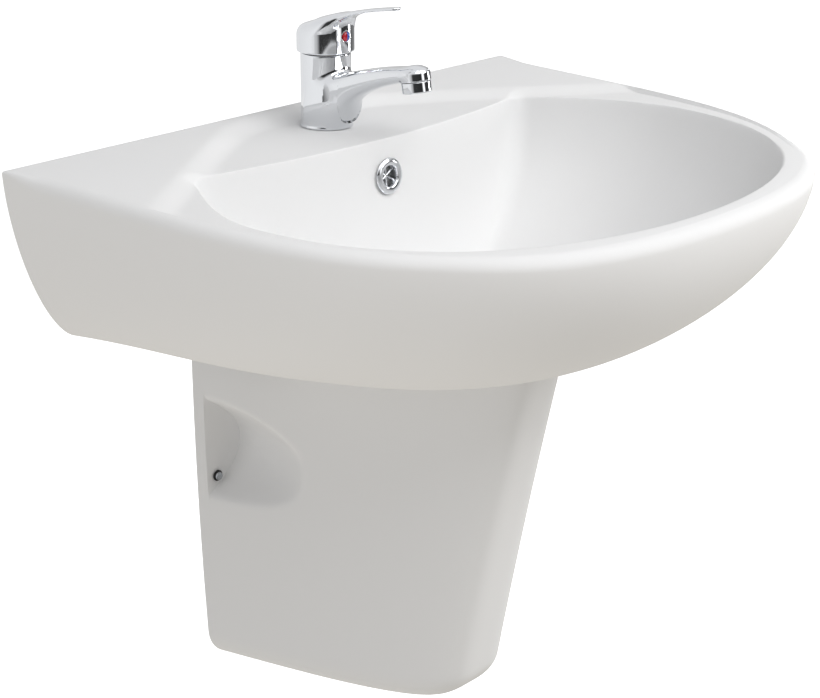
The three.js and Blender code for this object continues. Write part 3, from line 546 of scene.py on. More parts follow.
def shroud_form(wall=0.0):
    """Closed form of the shroud's outside, or of its hollow if a wall thickness is given. Rows run down the
    side at set drops past the scoop, then in even steps to the bottom edge, which turns in to the floor."""
    top, bottom = SHROUD_TOP, SHROUD_FLOOR
    if wall:
        top, bottom = top - HOLLOW_OVER, bottom - HOLLOW_FLOOR
    share = column_share[None, :]
    _, away, _, _ = shroud_plan(np.full((1, 1), FLOOR_AT), share, wall)
    floor_drop = bottom - FLOOR_RISE * away
    turn = SHROUD_TURN - wall
    close, end = SCOOP_ROWS
    upper = np.concatenate([np.linspace(top, close - 4, 12), np.linspace(close, end, 52)])[:, None]
    lower = end + (floor_drop - turn - end) * np.linspace(0, 1, 22)[1:, None]
    drop = np.concatenate([np.broadcast_to(upper, (len(upper), share.size)), lower])
    x, away, half, reach = shroud_plan(drop, share, wall)
    x = x - scoop_depth(away, drop, SCOOP_WALL if wall else 0.0) * (share < 2)
    a = np.radians(np.linspace(0, 90, 14))[1:, None]
    inset = turn * (1 - np.cos(a))
    low = floor_drop - turn * (1 - np.sin(a))
    edge_x, edge_away, edge_half, edge_reach = shroud_plan(low, share, wall)
    edge_x, edge_away = edge_x * (1 - inset / edge_half), edge_away * (1 - inset / edge_reach)
    shrink = np.linspace(1, 0, 9)[1:, None]
    floor_x, floor_away = edge_x[-1] * shrink, edge_away[-1] * shrink
    floor_low = bottom - FLOOR_RISE * floor_away
    right = np.stack([np.concatenate([x, edge_x, floor_x]), -np.concatenate([away, edge_away, floor_away]),
                      RIM_Z - np.concatenate([drop, low, floor_low])], axis=-1)
    lid = np.zeros_like(right[:1])
    lid[..., 1:] = (-120.0, RIM_Z - top)
    right = np.concatenate([lid, right])
    if wall:
        right[..., 1] = 6 + right[..., 1] * 1.03
    left = right[:, -2::-1] * np.array([-1, 1, 1])
    return np.concatenate([right, left], axis=1)


shroud = from_grid("china_semi_pedestal", shroud_form())
hollow = from_grid("hollow", shroud_form(SHROUD_WALL))
skin = skin_rows(1.0)
under, _, _ = underside_rows(skin, 1.0)
plug_top = np.broadcast_to([0, WASTE_Y, RIM_Z + 1.0], skin[:1].shape)
plug_base = np.broadcast_to([0, WASTE_Y, RIM_Z - 186.0], skin[:1].shape)
seat = from_grid("seat", np.concatenate([plug_top, skin, under, plug_base]))
bore_x, bore_z = SCOOP_SCREW
screw_bores = [rod("bore", 3.2, (s * bore_x, 5, bore_z), (s * bore_x, -17, bore_z)) for s in (-1, 1)]
carve(shroud, hollow, seat, *screw_bores)
shroud.data.materials.append(glaze)
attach(shroud, "root")
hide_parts("semi_pedestal")


# ---------------------------------------------------------------- overflow ring
# A pressed brass bezel, chromium plated, pushed into the overflow hole in the back of the bowl. A thin
# web of three bars in its throat keeps things out of the channel behind.

OVERFLOW_TILT = math.radians(5)


def softened(profile, radius=0.6, steps=4):
    """A profile of (radius, height) points with each inner corner replaced by a short parabola that starts
    and ends at the given distance from it, or nearly half way along a shorter side."""
    profile = np.array(profile, float)
    before, here, after = profile[:-2], profile[1:-1], profile[2:]
    t = np.linspace(0, 1, steps + 1)[None, :, None]
    gap_in, gap_out = before - here, after - here
    long_in, long_out = np.hypot(*gap_in.T)[:, None], np.hypot(*gap_out.T)[:, None]
    reach = np.minimum(radius, 0.45 * np.minimum(long_in, long_out))
    start, end = (here + gap_in / long_in * reach)[:, None], (here + gap_out / long_out * reach)[:, None]
    arcs = (1 - t) ** 2 * start + 2 * t * (1 - t) * here[:, None] + t ** 2 * end
    return np.concatenate([profile[:1], arcs.reshape(-1, 2), profile[-1:]])


def placed(points, origin, tilt=0.0):
    """Points drawn about the z axis, turned about x by the tilt and moved to the origin."""
    c, s = math.cos(tilt), math.sin(tilt)
    x, y, z = points[..., 0], points[..., 1], points[..., 2]
    return np.stack([x, c * y - s * z, s * y + c * z], axis=-1) + np.array(origin, float)


def turned(name, profile, origin, tilt=0.0, radius=0.6, segments=120, grip=None):
    """A profile of (radius, height) turned once round the axis, with its corners softened. grip is
    (count, depth, low, high): that many shallow flutes between two heights."""
    outline = softened(profile, radius)
    turn = np.linspace(0, 2 * math.pi, segments, endpoint=False)[None, :]
    reach, level = outline[:, :1] + 0 * turn, outline[:, 1:] + 0 * turn
    if grip:
        count, depth, low, high = grip
        held = ease((level - low) / 1.5) * ease((high - level) / 1.5) * (reach > 0.9 * outline[:, 0].max())
        reach = reach - depth * held * (0.5 + 0.5 * np.cos(count * turn)) ** 3
    rows = np.stack([reach * np.cos(turn), reach * np.sin(turn), level], axis=-1)
    return from_grid(name, placed(rows, origin, tilt), 30)


def joined(name, *pieces):
    """Several objects as one, under a new name."""
    work = bmesh.new()
    for piece in pieces:
        work.from_mesh(piece.data)
        bpy.data.objects.remove(piece)
    mesh = bpy.data.meshes.new(name)
    work.to_mesh(mesh)
    work.free()
    mesh.shade_smooth()
    mesh.set_sharp_from_angle(angle=math.radians(30))
    whole = bpy.data.objects.new(name, mesh)
    scene.collection.objects.link(whole)
    return whole


def belongs(piece, material, slot, body, *nodes):
    """Gives a piece its finish and its body, and hides the CAD nodes it stands for."""
    piece.data.materials.clear()
    piece.data.materials.append(material)
    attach(piece, body)
    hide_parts(*nodes)


# Bright chromium plate is nickel and chromium over polished brass: a hard, slightly blue mirror, with
# the faintest softening where buffing left it less than flat.
chrome, tree, shader, where = new_finish("bright_chromium_plate")
BUFFING = 0.006  # metres between soft patches left by the buffing wheel
haze = node(tree, "ShaderNodeTexNoise", {"Vector": where, "Scale": 1 / BUFFING, "Detail": 3.0})
polish = node(tree, "ShaderNodeMapRange", {0: haze.outputs["Fac"], 3: 0.035, 4: 0.075})
tree.links.new(polish.outputs[0], shader.inputs["Roughness"])
shader.inputs["Base Color"].default_value = linear("#dfe1e4")
shader.inputs["Metallic"].default_value = 1.0

overflow_at = (0, OVERFLOW_Y, OVERFLOW_Z)
overflow_tilt = math.pi / 2 - OVERFLOW_TILT
bezel = turned("bezel", [(8.6, -6), (10.8, -6), (10.8, 0.4), (15.6, 0.4), (15.2, 1.6), (12.2, 3),
                         (9.4, 2.2), (8.6, 0.8), (8.6, -6)],
               overflow_at, overflow_tilt, 1.1)
WEB_REACH, WEB_DEPTH = 8.9, -3.5
web = []
for i in range(3):
    turn = i * math.pi / 3 + math.pi / 2
    arm = np.array([WEB_REACH * math.cos(turn), WEB_REACH * math.sin(turn), WEB_DEPTH])
    ends = placed(np.stack([arm, arm * (-1, -1, 1)]), overflow_at, overflow_tilt)
    web.append(rod(f"web_{i}", 0.8, *ends, 16))
overflow = joined("chrome_overflow_ring", bezel, *web)
belongs(overflow, chrome, "chrome_plate", "root", "overflow_ring")


# ---------------------------------------------------------------- mixer tap body
# The tap is one brass casting, polished and chromium plated: a round column whose front flows into a
# squarish spout. A stud and a horseshoe plate under the deck clamp it down over a rubber seal.

TAP_AT = (0.0, TAP_Y, DECK_Z)
COLUMN, COLUMN_TOP = 21.5, 63.8
SPOUT_REACH = 104.0
AERATOR_H = 43.9
AERATOR_TILT = math.radians(10)
CAST_PITCH = 0.85


def blend_min(a, b, width):
    """The lesser of a and b, with a fillet of about the given width where they are nearly equal."""
    near = np.clip(width - np.abs(a - b), 0, None) / width
    return np.minimum(a, b) - near ** 2 * width / 4


def blend_max(a, b, width):
    return -blend_min(-a, -b, width)


def level_surface(name, field, low, high, pitch, origin):
    """The surface where field(x, y, z) is zero, negative inside. Space is divided into cubes: each cube
    that the surface crosses gets a vertex, and each crossed cube edge a quad between the four round it.
    The vertices then move down the field's slope until they lie on the surface, and take its normals."""
    axes = [np.arange(a, b + pitch, pitch) for a, b in zip(low, high)]
    inside = field(*np.meshgrid(*axes, indexing="ij")) < 0
    cells = tuple(n - 1 for n in inside.shape)
    count = sum(inside[i:i + cells[0], j:j + cells[1], k:k + cells[2]].astype(int)
                for i in (0, 1) for j in (0, 1) for k in (0, 1))
    crossed = (count > 0) & (count < 8)
    number = np.full(crossed.shape, -1)
    number[crossed] = np.arange(crossed.sum())
    points = np.stack([axes[d][place] + pitch / 2 for d, place in enumerate(np.nonzero(crossed))], axis=-1)
    quads = []
    for d in range(3):
        e, f = (d + 1) % 3, (d + 2) % 3
        step = np.eye(3, dtype=int)
        ends = np.moveaxis(inside, d, 0)
        change = np.moveaxis(ends[:-1] != ends[1:], 0, d)
        edge = np.argwhere(change)
        edge = edge[(edge[:, e] > 0) & (edge[:, f] > 0) & (edge[:, e] < cells[e]) & (edge[:, f] < cells[f])]
        round_edge = [edge, edge - step[e], edge - step[e] - step[f], edge - step[f]]
        quad = np.stack([number[tuple(cell.T)] for cell in round_edge], axis=-1)
        outwards = inside[tuple(edge.T)][:, None]
        quads.append(np.where(outwards, quad, quad[:, ::-1]))
    faces = np.concatenate(quads)

    def slope(p):
        tiny = 0.02  # mm to each side of the point
        ends = tiny * np.eye(3)
        return np.stack([field(*(p + t).T) - field(*(p - t).T) for t in ends], axis=-1) / (2 * tiny)

    for _ in range(6):
        g = slope(points)
        move = (field(*points.T) / np.maximum((g * g).sum(axis=1), 0.2))[:, None] * g
        points = points - np.clip(move, -pitch / 2, pitch / 2)
    normals = slope(points)
    normals /= np.maximum(np.linalg.norm(normals, axis=1, keepdims=True), 1e-9)

    mesh = bpy.data.meshes.new(name)
    mesh.from_pydata((points + np.array(origin)) * MM, [], faces)
    mesh.shade_smooth()
    mesh.normals_split_custom_set_from_vertices(normals)
    piece = bpy.data.objects.new(name, mesh)
    scene.collection.objects.link(piece)
    return piece


def about_aerator(x, y, z):
    """Distance from the aerator's tilted axis, and height along it."""
    c, s = math.cos(AERATOR_TILT), math.sin(AERATOR_TILT)
    dy, dz = y + SPOUT_REACH, z - AERATOR_H
    return np.hypot(x, c * dy - s * dz), s * dy + c * dz


def squarish(x, z, half_width, low, high, power=2.6):
    """Distance in units of length from a super-elliptic section between two heights."""
    half = np.maximum((high - low) / 2, 0.5)
    ring = (np.abs(x / half_width) ** power + np.abs((z - (high + low) / 2) / half) ** power) ** (1 / power)
    return (ring - 1) * np.minimum(half_width, half)


def tap_body_field(x, y, z):
    """Column, spout and nose blended with fillets, less the chamber, the outlet and the holes under it."""
    r = np.hypot(x, y)
    column = blend_max(r - COLUMN - 1.4 * np.exp(-(z / 3.2) ** 2), z - COLUMN_TOP, 1.6)
    ahead = -y
    top = 50 + 16.26 * (ahead - 29) / 55 - 3.86 * ((ahead - 29) / 55) ** 2
    low = 8 + 46 * np.clip((ahead - 28) / 76, 0, None) ** 0.42
    width = 12.2 + 5 * np.exp(-np.clip(ahead - 22, -6, None) / 14)
    spout = squarish(x, z, width, low, top, 2.6 + 0.9 * ease((z - (low + top) / 2) / 8))
    spout = blend_max(blend_max(spout, ahead - SPOUT_REACH + 1, 3), -ahead, 2)
    out, along = about_aerator(x, y, z)
    nose = blend_max(out - 12.8, along - 22.4 + out ** 2 / 38, 3.2)
    nose = blend_max(nose, 9.3 - along, 0.9)
    body = blend_min(column, spout, 5 + 9 * ease((44 - z) / 30))
    body = blend_min(body, nose, 2.5)
    body = blend_max(body, 0.3 - z, 0.8)
    chamber = np.maximum(r - np.where(z > 56.2, 19.8, 18.1), 26 - z)
    outlet = np.maximum(out - 11.2, along - 17.6)
    inlets = np.maximum(np.hypot(np.abs(x) - 7.5, y + 5) - 4.6, z - 27)
    stud = np.maximum(np.hypot(x, y - 11) - 4.3, z - 14)
    for hollow in (chamber, outlet, inlets, stud):
        body = blend_max(body, -hollow, 0.8)
    return body


tap_body = level_surface("chrome_tap_body", tap_body_field, (-25.2, -119.3, -1.1), (25.3, 25.2, 67.1),
                         CAST_PITCH, TAP_AT)
belongs(tap_body, chrome, "chrome_plate", "root", "tap_body")


# ---------------------------------------------------------------- aerator
# A screwed brass shell in the nose of the spout that holds a moulded insert with seven water ways.

aerator_at = (0, TAP_Y - SPOUT_REACH, DECK_Z + AERATOR_H)
housing = turned("chrome_aerator_housing", [(9.6, 0), (11.8, 0), (12.3, 0.8), (12.3, 9), (10.9, 9),
                                            (10.9, 14.6), (9.6, 14.6), (9.6, 0)],
                 aerator_at, -AERATOR_TILT, 0.5)
belongs(housing, chrome, "chrome_plate", "root", "aerator_housing")


# ---------------------------------------------------------------- lever
# The lever is a hollow brass casting, chromium plated. Its cap drops over the top of the body like a
# thimble, and its crown runs forward into a thin blade. A red and blue index plug hides the grub screw.

CAP_BOTTOM, CAP_RADIUS = 64.6, 24.6
BLADE_TIP = 84.2
INDEX_H = 79.0


def lever_field(x, y, z):
    """Cap under a sloping crown, blended into the blade, less the skirt, the well and the screw's bore."""
    r = np.hypot(x, y)
    behind, ahead = np.clip(y, 0, None), -y
    crown = 92.8 + 0.32 * ahead - 0.0025 * np.clip(ahead, 0, None) ** 2 - 5.6 * (behind / 24.2) ** 6
    crown = crown - 8.6 * np.clip(np.abs(x) / 24.2, 0, 1.2) ** 5 - 1.4 * (x / 24.2) ** 2
    cap = blend_max(r - CAP_RADIUS, (z - crown) / 1.05, 6)
    cap = blend_max(cap, CAP_BOTTOM - z, 0.9)
    blade_top = 92.6 + 0.32 * ahead - 0.0012 * ahead ** 2 - 0.006 * x ** 2
    thick = 2.9 + 8 * np.exp(-(np.clip(ahead, 20, None) - 20) / 9)
    half = 5.3 + 8.6 / (1 + np.exp((ahead - 27) / 6)) + 0.032 * (BLADE_TIP - ahead)
    blade = squarish(x, z, half, blade_top - thick, blade_top, 2.8)
    blade = blend_max(blade, ahead + x ** 2 / 13 - BLADE_TIP, 2)
    blade = blend_max(blade, 2 - ahead, 3)
    body = blend_min(cap, blade, 4)
    skirt = np.maximum(r - 22.3, z - 70)
    well = np.maximum(r - 22.3 + np.clip(z - 69, 0, None) * 6.3 / 11, z - 80)
    well = blend_max(well, -np.maximum(r - 7.5, 72.5 - z), 0.8)
    socket = np.maximum(np.maximum(np.abs(x), np.abs(y)) - 3.8, z - 84.3)
    bore = np.maximum(np.hypot(x, z - INDEX_H) - 2.4, y)
    seat = np.maximum(np.hypot(x, z - INDEX_H) - 4.3, y + 23)
    for hollow in (skirt, well, socket, bore, seat):
        body = blend_max(body, -hollow, 0.8)
    return body


lever_handle = level_surface("chrome_lever", lever_field, (-26.1, -86.2, 62.1), (26.2, 26.3, 113.4),
                             CAST_PITCH, TAP_AT)
belongs(lever_handle, chrome, "chrome_plate", "lever", "lever_handle")

# The index plug is injection moulded in clear-coated ABS, red on the hot side and blue on the cold.
SPLIT = 0.0002  # metres to each side of the middle over which the red turns to blue
index, tree, shader, where = new_finish("two_colour_moulded_abs")
axes = node(tree, "ShaderNodeSeparateXYZ", {0: where})
side = node(tree, "ShaderNodeMapRange", {0: axes.outputs["X"], 1: -SPLIT, 2: SPLIT, 3: 0.0, 4: 1.0})
shades = node(tree, "ShaderNodeMix", {0: side.outputs[0], 6: linear("#b3202c"), 7: linear("#2a56a8")},
              data_type="RGBA")
tree.links.new(shades.outputs[2], shader.inputs["Base Color"])
shader.inputs["Roughness"].default_value = 0.12
plug_at = (0, TAP_Y - 23.3, DECK_Z + INDEX_H)
FORWARDS = math.pi / 2  # turns a piece drawn about the z axis to point away from the wall
plug = turned("index_plug_face", [(0, 0), (4, 0), (4, 1.4), (2.6, 2.1), (0, 2.3)],
              plug_at, FORWARDS, 0.4, 64)
belongs(plug, index, "index_red", "lever", "index_plug")


# ---------------------------------------------------------------- click waste
# A flanged brass tail, chromium plated, sits in the hole in the bowl's floor between two rubber seals and
# is pulled down by a brass back nut. Its plug is a low mushroom that clicks up and down on a latch.

WASTE_AT = (0.0, WASTE_Y, RIM_Z - BOWL_DEPTH)

tail = turned("tail", [(18.6, -74), (20.6, -74), (20.6, -3.2), (31.5, -3.2), (32.4, -1.6), (31, 0),
                       (20, -1.6), (18.6, -3.6), (18.6, -74)],
              WASTE_AT, radius=0.8)
BRIDGE_REACH, BRIDGE_DROP = 19.4, 31  # the bars that cross the tail and hold the latch
bridge = []
for i, (a, b) in enumerate([(1, 0), (0.5, 0.866), (-0.5, 0.866)]):
    arm = np.array([BRIDGE_REACH * a, BRIDGE_REACH * b, -BRIDGE_DROP])
    bridge.append(rod(f"arm_{i}", 3, *placed(np.stack([arm * (-1, -1, 1), arm]), WASTE_AT), 24))
tail = joined("chrome_waste_tail", tail, *bridge)
belongs(tail, chrome, "chrome_plate", "root", "waste_body")

mushroom = turned("chrome_waste_plug", [(0, -36), (3, -36), (3, -8.6), (6.4, -8.6), (6.4, -1), (17.6, -1),
                                        (17.6, 0.4), (28.6, 1.2), (28.6, 2.2), (20, 4.8), (0, 6.2)],
                  WASTE_AT, radius=1.6)
belongs(mushroom, chrome, "chrome_plate", "plug", "waste_plug")


# Black nitrile rubber is compression moulded: matt, with the faint bloom that old seals have.
rubber, tree, shader, where = new_finish("black_nitrile_rubber")
BLOOM = 0.004  # metres
cloud = node(tree, "ShaderNodeTexNoise", {"Vector": where, "Scale": 1 / BLOOM, "Detail": 4.0})
shades = node(tree, "ShaderNodeMix", {0: cloud.outputs["Fac"], 6: linear("#1b1b1c"), 7: linear("#343436")},
              data_type="RGBA")
tree.links.new(shades.outputs[2], shader.inputs["Base Color"])
shader.inputs["Roughness"].default_value = 0.62

def flat_ring(name, inner, outer, low, high, origin, tilt=0.0, radius=0.4, segments=120):
    """A ring of square section between two radii and two heights."""
    section = [(inner, low), (outer, low), (outer, high), (inner, high), (inner, low)]
    return turned(name, section, origin, tilt, radius, segments)


for name, node_name, body, *size in [
        ("rubber_waste_flange_seal", "waste_top_seal", "root", 21.4, 31, -4.7, -3.5),
        ("rubber_plug_seal", "waste_plug_seal", "plug", 17.9, 22.4, -0.9, 0.1)]:
    belongs(flat_ring(name, *size, WASTE_AT), rubber, "black_rubber", body, node_name)
cone = turned("rubber_waste_cone_seal", [(20.9, -50), (30, -50), (27, -43.3), (20.9, -43.3), (20.9, -50)],
              WASTE_AT)
belongs(cone, rubber, "black_rubber", "root", "waste_bottom_seal")


# Brass bar, turned and left bare: warm and bright, with fine rings left by the tool.
brass, tree, shader, where = new_finish("bare_turned_brass")
TOOL_FEED = 0.0006  # metres per turn, about four times the real feed so that the rings show
rings = node(tree, "ShaderNodeTexWave", {"Vector": where, "Scale": 1 / (TOOL_FEED * 20), "Distortion": 0.6,
                                         "Detail": 1.0}, bands_direction="Z")
mark = node(tree, "ShaderNodeBump", {"Height": rings.outputs["Fac"], "Strength": 0.25, "Distance": 0.00005})
tree.links.new(mark.outputs["Normal"], shader.inputs["Normal"])
tarnish = node(tree, "ShaderNodeTexNoise", {"Vector": where, "Scale": 90.0, "Detail": 3.0})
shades = node(tree, "ShaderNodeMix",
              {0: tarnish.outputs["Fac"], 6: linear("#b8923f"), 7: linear("#d6b665")}, data_type="RGBA")
tree.links.new(shades.outputs[2], shader.inputs["Base Color"])
shader.inputs["Metallic"].default_value = 1.0
shader.inputs["Roughness"].default_value = 0.28


def nut_rows(across, bore, low, high, sides=6, segments=120):
    """A nut's surface: up the bore, out over a chamfered top, down the flats and back in. The outline's
    reach is apothem / cos(angle from the flat's middle), held inside the chamfer's circle at both ends."""
    turn = np.linspace(0, 2 * math.pi, segments, endpoint=False)
    step = 2 * math.pi / sides
    apothem = across / 2
    flat = apothem / np.cos((turn + step / 2) % step - step / 2)
    point = flat.max() - apothem
    chamfer = [(np.minimum(flat, apothem + point * out), 0.6 * point * down)
               for out, down in ((0.02, 0), (0.4, 0.35), (0.75, 0.7), (1.0, 1.0))]
    face = 0.96 * apothem
    shape = [(bore, low), (bore, high), (face, high)]
    shape += [(reach, high - down) for reach, down in chamfer]
    shape += [(reach, low + down) for reach, down in chamfer[::-1]]
    shape += [(face, low), (bore, low)]
    return np.stack([np.stack([reach * np.cos(turn), reach * np.sin(turn), level + 0 * turn], axis=-1)
                     for reach, level in shape])


back_nut = from_grid("brass_waste_back_nut", placed(nut_rows(60.5, 20.9, -58.5, -50.3, 8), WASTE_AT), 25)
belongs(back_nut, brass, "raw_brass", "root", "waste_back_nut")


# ---------------------------------------------------------------- bottle trap
# Polypropylene, injection moulded in white: an inlet with a telescopic tube, a body with a side branch, a
# screwed cup that holds the water seal, and an outlet pipe to the wall under a press-on rosette.

OUTLET_Z = WASTE_AT[2] - 128
TIP = -WASTE_Y - 62  # distance from the wall to the tip of the body's branch

plastic, tree, shader, where = new_finish("white_moulded_polypropylene")
SPARK = 0.0009  # metres between pits of the spark-eroded mould, coarser than real so that they show
grain = node(tree, "ShaderNodeTexNoise", {"Vector": where, "Scale": 1 / SPARK, "Detail": 2.0})
pits = node(tree, "ShaderNodeBump", {"Height": grain.outputs["Fac"], "Strength": 0.2, "Distance": 0.00005})
tree.links.new(pits.outputs["Normal"], shader.inputs["Normal"])
flow = node(tree, "ShaderNodeTexNoise", {"Vector": where, "Scale": 25.0, "Detail": 1.0})
shades = node(tree, "ShaderNodeMix", {0: flow.outputs["Fac"], 6: linear("#e3e3de"), 7: linear("#eeeeea")},
              data_type="RGBA")
tree.links.new(shades.outputs[2], shader.inputs["Base Color"])
shader.inputs["Roughness"].default_value = 0.38
shader.inputs["Subsurface Weight"].default_value = 0.08
shader.inputs["Subsurface Radius"].default_value = (0.002, 0.002, 0.002)

GRIP = 24  # flutes round each hand nut
for name, node_name, grip, profile in [
        ("trap_inlet_hand_nut", "trap_inlet_nut", (GRIP, 1.6, -82, -67),
         [(20.9, -66), (25.5, -66), (26, -72), (25, -84), (16.6, -84), (16.6, -80.6), (20.9, -80.6),
          (20.9, -66)]),
        ("trap_telescopic_tube", "trap_inlet_tube", None,
         [(13.8, -160), (16, -160), (16, -80), (20.4, -80), (20.4, -76.7), (13.8, -76.7), (13.8, -160)]),
        ("trap_top_hand_nut", "trap_top_nut", (GRIP, 1.4, -111, -97),
         [(16.5, -96), (24, -96), (24.6, -112), (21.6, -112), (21.6, -101), (16.5, -101), (16.5, -96)]),
        ("trap_cup_moulded", "trap_cup", (2 * GRIP, 1.4, -157.5, -147.5),
         [(0, -196), (22, -196), (28, -188), (30.8, -160), (34.4, -158), (34.4, -147), (31.4, -147),
          (31.4, -154.3), (27.8, -154.3), (25.4, -187), (0, -193)])]:
    piece = turned(name, profile, WASTE_AT, radius=0.7, segments=192, grip=grip)
    belongs(piece, plastic, "white_nylon", "root", node_name)

shell = turned("trap_bottle_body", [(16.6, -104.3), (21.2, -104.3), (21.2, -112.3), (31, -114), (31, -152),
                                    (28, -152), (28, -116.5), (16.6, -114.5), (16.6, -104.3)],
               WASTE_AT, radius=1.2)
branch = rod("branch", 17, (0, WASTE_Y + 26, OUTLET_Z), (0, WASTE_Y + 62, OUTLET_Z), 96)
branch_union = shell.modifiers.new("union", "BOOLEAN")
branch_union.object, branch_union.operation, branch_union.solver = branch, "UNION", "MANIFOLD"
carve(shell, rod("inside", 28, (0, WASTE_Y, WASTE_AT[2] - 160), (0, WASTE_Y, WASTE_AT[2] - 116.5), 96),
      rod("outlet", 14, (0, WASTE_Y + 10, OUTLET_Z), (0, WASTE_Y + 70, OUTLET_Z), 96))
bpy.data.objects.remove(branch)
belongs(shell, plastic, "white_nylon", "root", "trap_body")

# Profiles of the outlet's pieces: radius, and distance from the wall.
outlet_at = (0, 0, OUTLET_Z)
for name, node_name, grip, profile in [
        ("trap_outlet_hand_nut", "trap_outlet_nut", (GRIP, 1.4, TIP - 7, TIP + 12),
         [(17.4, TIP + 14), (21, TIP + 14), (21.6, TIP - 8), (16.4, TIP - 8), (16.4, TIP - 5),
          (17.7, TIP - 5), (17.4, TIP + 14)]),
        ("trap_outlet_pipe_moulded", "trap_outlet_pipe", None,
         [(13.8, 0.3), (16, 0.3), (16, TIP - 4.6), (17.4, TIP - 4.6), (17.4, TIP - 2.6), (13.8, TIP - 2.6),
          (13.8, 0.3)]),
        ("wall_rosette_moulded", "wall_rosette", None,
         [(16.4, 0.3), (33, 0.3), (32, 3), (20, 9), (16.4, 9), (16.4, 0.3)])]:
    piece = turned(name, profile, outlet_at, FORWARDS, 0.8, 192, grip)
    belongs(piece, plastic, "white_nylon", "root", node_name)

for name, node_name, *size in [
        ("rubber_trap_inlet_washer", "trap_inlet_washer", 15.6, 20.4, -76.4, -74.4),
        ("rubber_trap_top_seal", "trap_top_seal", 16.4, 21.2, -104, -101.3),
        ("rubber_trap_cup_seal", "trap_cup_seal", 28.2, 30.8, -154, -152.3)]:
    belongs(flat_ring(name, *size, WASTE_AT), rubber, "black_rubber", "root", node_name)
washer = flat_ring("rubber_trap_outlet_washer", 13.4, 17.4, TIP - 2.3, TIP - 0.3, outlet_at, FORWARDS)
belongs(washer, rubber, "black_rubber", "root", "trap_outlet_washer")


# ---------------------------------------------------------------- wall and tap fixings
# Zinc-plated steel: two M10 bolts with nylon bushes, washers and nuts hold the basin to the wall, two
# small screws hold the shroud, and an M8 stud with a brass nut clamps the tap under the deck.

# Zinc plate over steel is passivated pale blue-grey, with the satin crystals of the plating.
steel, tree, shader, where = new_finish("zinc_plated_steel")
SPANGLE = 0.0015  # metres across a plating crystal
crystals = node(tree, "ShaderNodeTexVoronoi", {"Vector": where, "Scale": 1 / SPANGLE})
shades = node(tree, "ShaderNodeMix",
              {0: crystals.outputs["Distance"], 6: linear("#a3a8ae"), 7: linear("#c5c8cc")},
              data_type="RGBA")
satin = node(tree, "ShaderNodeMapRange", {0: crystals.outputs["Distance"], 3: 0.24, 4: 0.36})
tree.links.new(shades.outputs[2], shader.inputs["Base Color"])
tree.links.new(satin.outputs[0], shader.inputs["Roughness"])
shader.inputs["Metallic"].default_value = 1.0


def threaded(name, radius, pitch, plain, length, origin, tilt=0.0, steps=12):
    """A threaded rod: the reach falls by the thread's depth as a triangle wave that turns once round for
    each pitch, and fades out on the plain shank and at the chamfered end."""
    turn = np.linspace(0, 2 * math.pi, 36, endpoint=False)[None, :]
    level = np.arange(0, length + pitch / steps, pitch / steps)[:, None] + 0 * turn
    level = np.minimum(level, length)
    wave = np.abs(((level / pitch - turn / (2 * math.pi)) % 1) * 2 - 1)
    cut = 0.6 * pitch * wave * ease((level - plain) / pitch)
    end = np.clip(level - (length - pitch), 0, None)
    reach = radius - np.maximum(cut, end * 0.7)
    rows = np.stack([reach * np.cos(turn), reach * np.sin(turn), level], axis=-1)
    on_axis = rows[[0, -1]] * np.array([0, 0, 1])
    return from_grid(name, placed(np.concatenate([on_axis[:1], rows, on_axis[1:]]), origin, tilt), 25)


BOLT_LENGTH = 41.7
for side, sign in (("left", -1), ("right", 1)):
    at = (sign * BOLT_X, -0.3, 0)
    bolt = threaded(f"steel_basin_bolt_{side}", 5, 1.5, 6, BOLT_LENGTH, at, FORWARDS)
    belongs(bolt, steel, "zinc_steel", "root", f"basin_bolt_{side}")
    at = (sign * BOLT_X, 0, 0)
    bush = turned(f"moulded_bolt_bush_{side}", [(5.4, 0.3), (6.6, 0.3), (6.6, 9.3), (14, 9.3), (14, 12.3),
                                                (5.4, 12.3), (5.4, 0.3)],
                  at, FORWARDS)
    belongs(bush, plastic, "white_nylon", "root", f"basin_bolt_bush_{side}")
    washer = flat_ring(f"steel_bolt_washer_{side}", 5.4, 15, 12.6, 14.6, at, FORWARDS, 0.3)
    belongs(washer, steel, "zinc_steel", "root", f"basin_bolt_washer_{side}")
    nut = from_grid(f"steel_bolt_nut_{side}", placed(nut_rows(17, 5.4, 14.9, 23.3), at, FORWARDS), 25)
    belongs(nut, steel, "zinc_steel", "root", f"basin_bolt_nut_{side}")

    at = (sign * SCOOP_SCREW[0], 0, SCOOP_SCREW[1])
    screw = turned(f"steel_shroud_screw_{side}", [(0, 0.3), (2.1, 0.3), (2.1, 13.8), (3.8, 13.8),
                                                  (3.4, 15.8), (0, 16.2)],
                   at, FORWARDS, 0.5, 48)
    belongs(screw, steel, "zinc_steel", "root", f"pedestal_screw_{side}")
    washer = flat_ring(f"rubber_shroud_washer_{side}", 2.4, 5, 12.3, 13.5, at, FORWARDS, 0.3, 48)
    belongs(washer, rubber, "black_rubber", "root", f"pedestal_screw_washer_{side}")

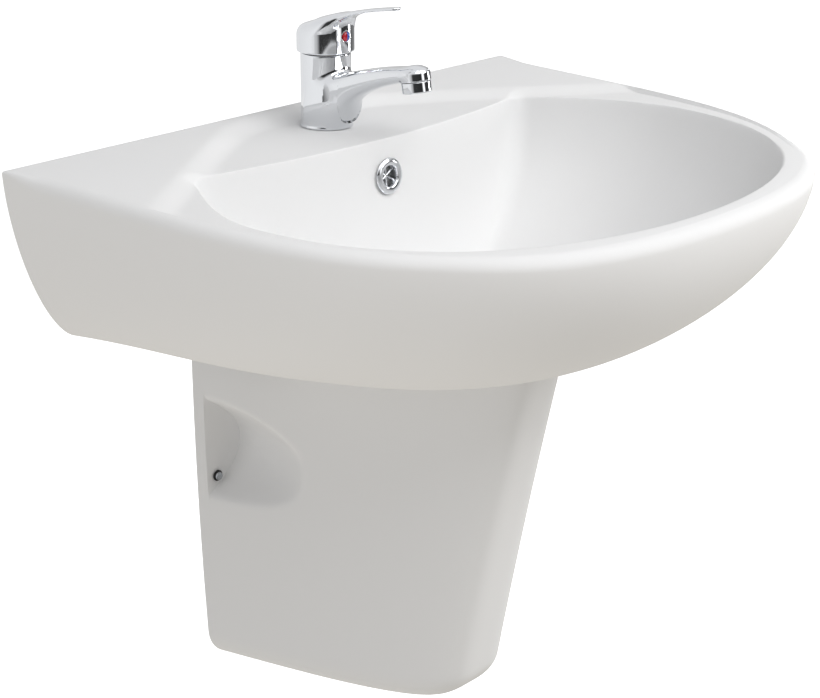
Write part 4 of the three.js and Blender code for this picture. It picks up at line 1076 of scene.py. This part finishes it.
UNDER_DECK = -12.3
stud = threaded("steel_tap_stud", 4, 1.25, 0, 71, (0, TAP_Y + 11, DECK_Z - 58))
belongs(stud, steel, "zinc_steel", "root", "tap_stud")
stud_nut = from_grid("brass_tap_stud_nut", placed(nut_rows(12, 4.3, UNDER_DECK - 22, UNDER_DECK - 5.9),
                                                  (0, TAP_Y + 11, DECK_Z)), 25)
belongs(stud_nut, brass, "raw_brass", "root", "tap_stud_nut")
base_seal = flat_ring("rubber_tap_base_seal", 17.8, 20.2, 0.3, 1.9, TAP_AT)
belongs(base_seal, rubber, "black_rubber", "root", "tap_base_seal")
cover = turned("chrome_cartridge_cover", [(13, 64.9), (19.2, 64.9), (19.2, 64.1), (20.2, 64.1), (20.2, 66),
                                          (19.6, 66.6), (13, 66.6), (13, 64.9)],
               TAP_AT, radius=0.4)
belongs(cover, chrome, "chrome_plate", "root", "cartridge_cover")


# ---------------------------------------------------------------- inside the tap and the waste
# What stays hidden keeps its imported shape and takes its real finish: the ceramic disc cartridge, its
# carrier and pin, the aerator's insert, the clamp plate and the latch of the waste.

# Acetal is moulded in grey for cartridges and latches: waxy and smooth.
acetal, tree, shader, where = new_finish("grey_moulded_acetal")
flow = node(tree, "ShaderNodeTexNoise", {"Vector": where, "Scale": 120.0, "Detail": 2.0})
shades = node(tree, "ShaderNodeMix", {0: flow.outputs["Fac"], 6: linear("#58606a"), 7: linear("#6b747e")},
              data_type="RGBA")
tree.links.new(shades.outputs[2], shader.inputs["Base Color"])
shader.inputs["Roughness"].default_value = 0.42

# Alumina discs are sintered, then lapped flat: cream, close grained and half bright.
alumina, tree, shader, where = new_finish("lapped_alumina")
grains = node(tree, "ShaderNodeTexNoise", {"Vector": where, "Scale": 900.0, "Detail": 2.0})
shades = node(tree, "ShaderNodeMix", {0: grains.outputs["Fac"], 6: linear("#e0dacb"), 7: linear("#efeade")},
              data_type="RGBA")
tree.links.new(shades.outputs[2], shader.inputs["Base Color"])
shader.inputs["Roughness"].default_value = 0.22

for material, node_names in [
        (steel, ["tap_clamp_plate", "cartridge_pin", "lever_grub_screw"]),
        (plastic, ["cartridge_housing"]),
        (rubber, ["tap_rubber_washer", "aerator_washer", "cartridge_seal"]),
        (brass, ["cartridge_nut", "cartridge_spindle"]),
        (acetal, ["aerator_insert", "cartridge_carrier", "waste_latch"]),
        (alumina, ["cartridge_fixed_disc", "cartridge_moving_disc"])]:
    for node_name in node_names:
        for part_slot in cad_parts[node_name].material_slots:
            part_slot.material = material
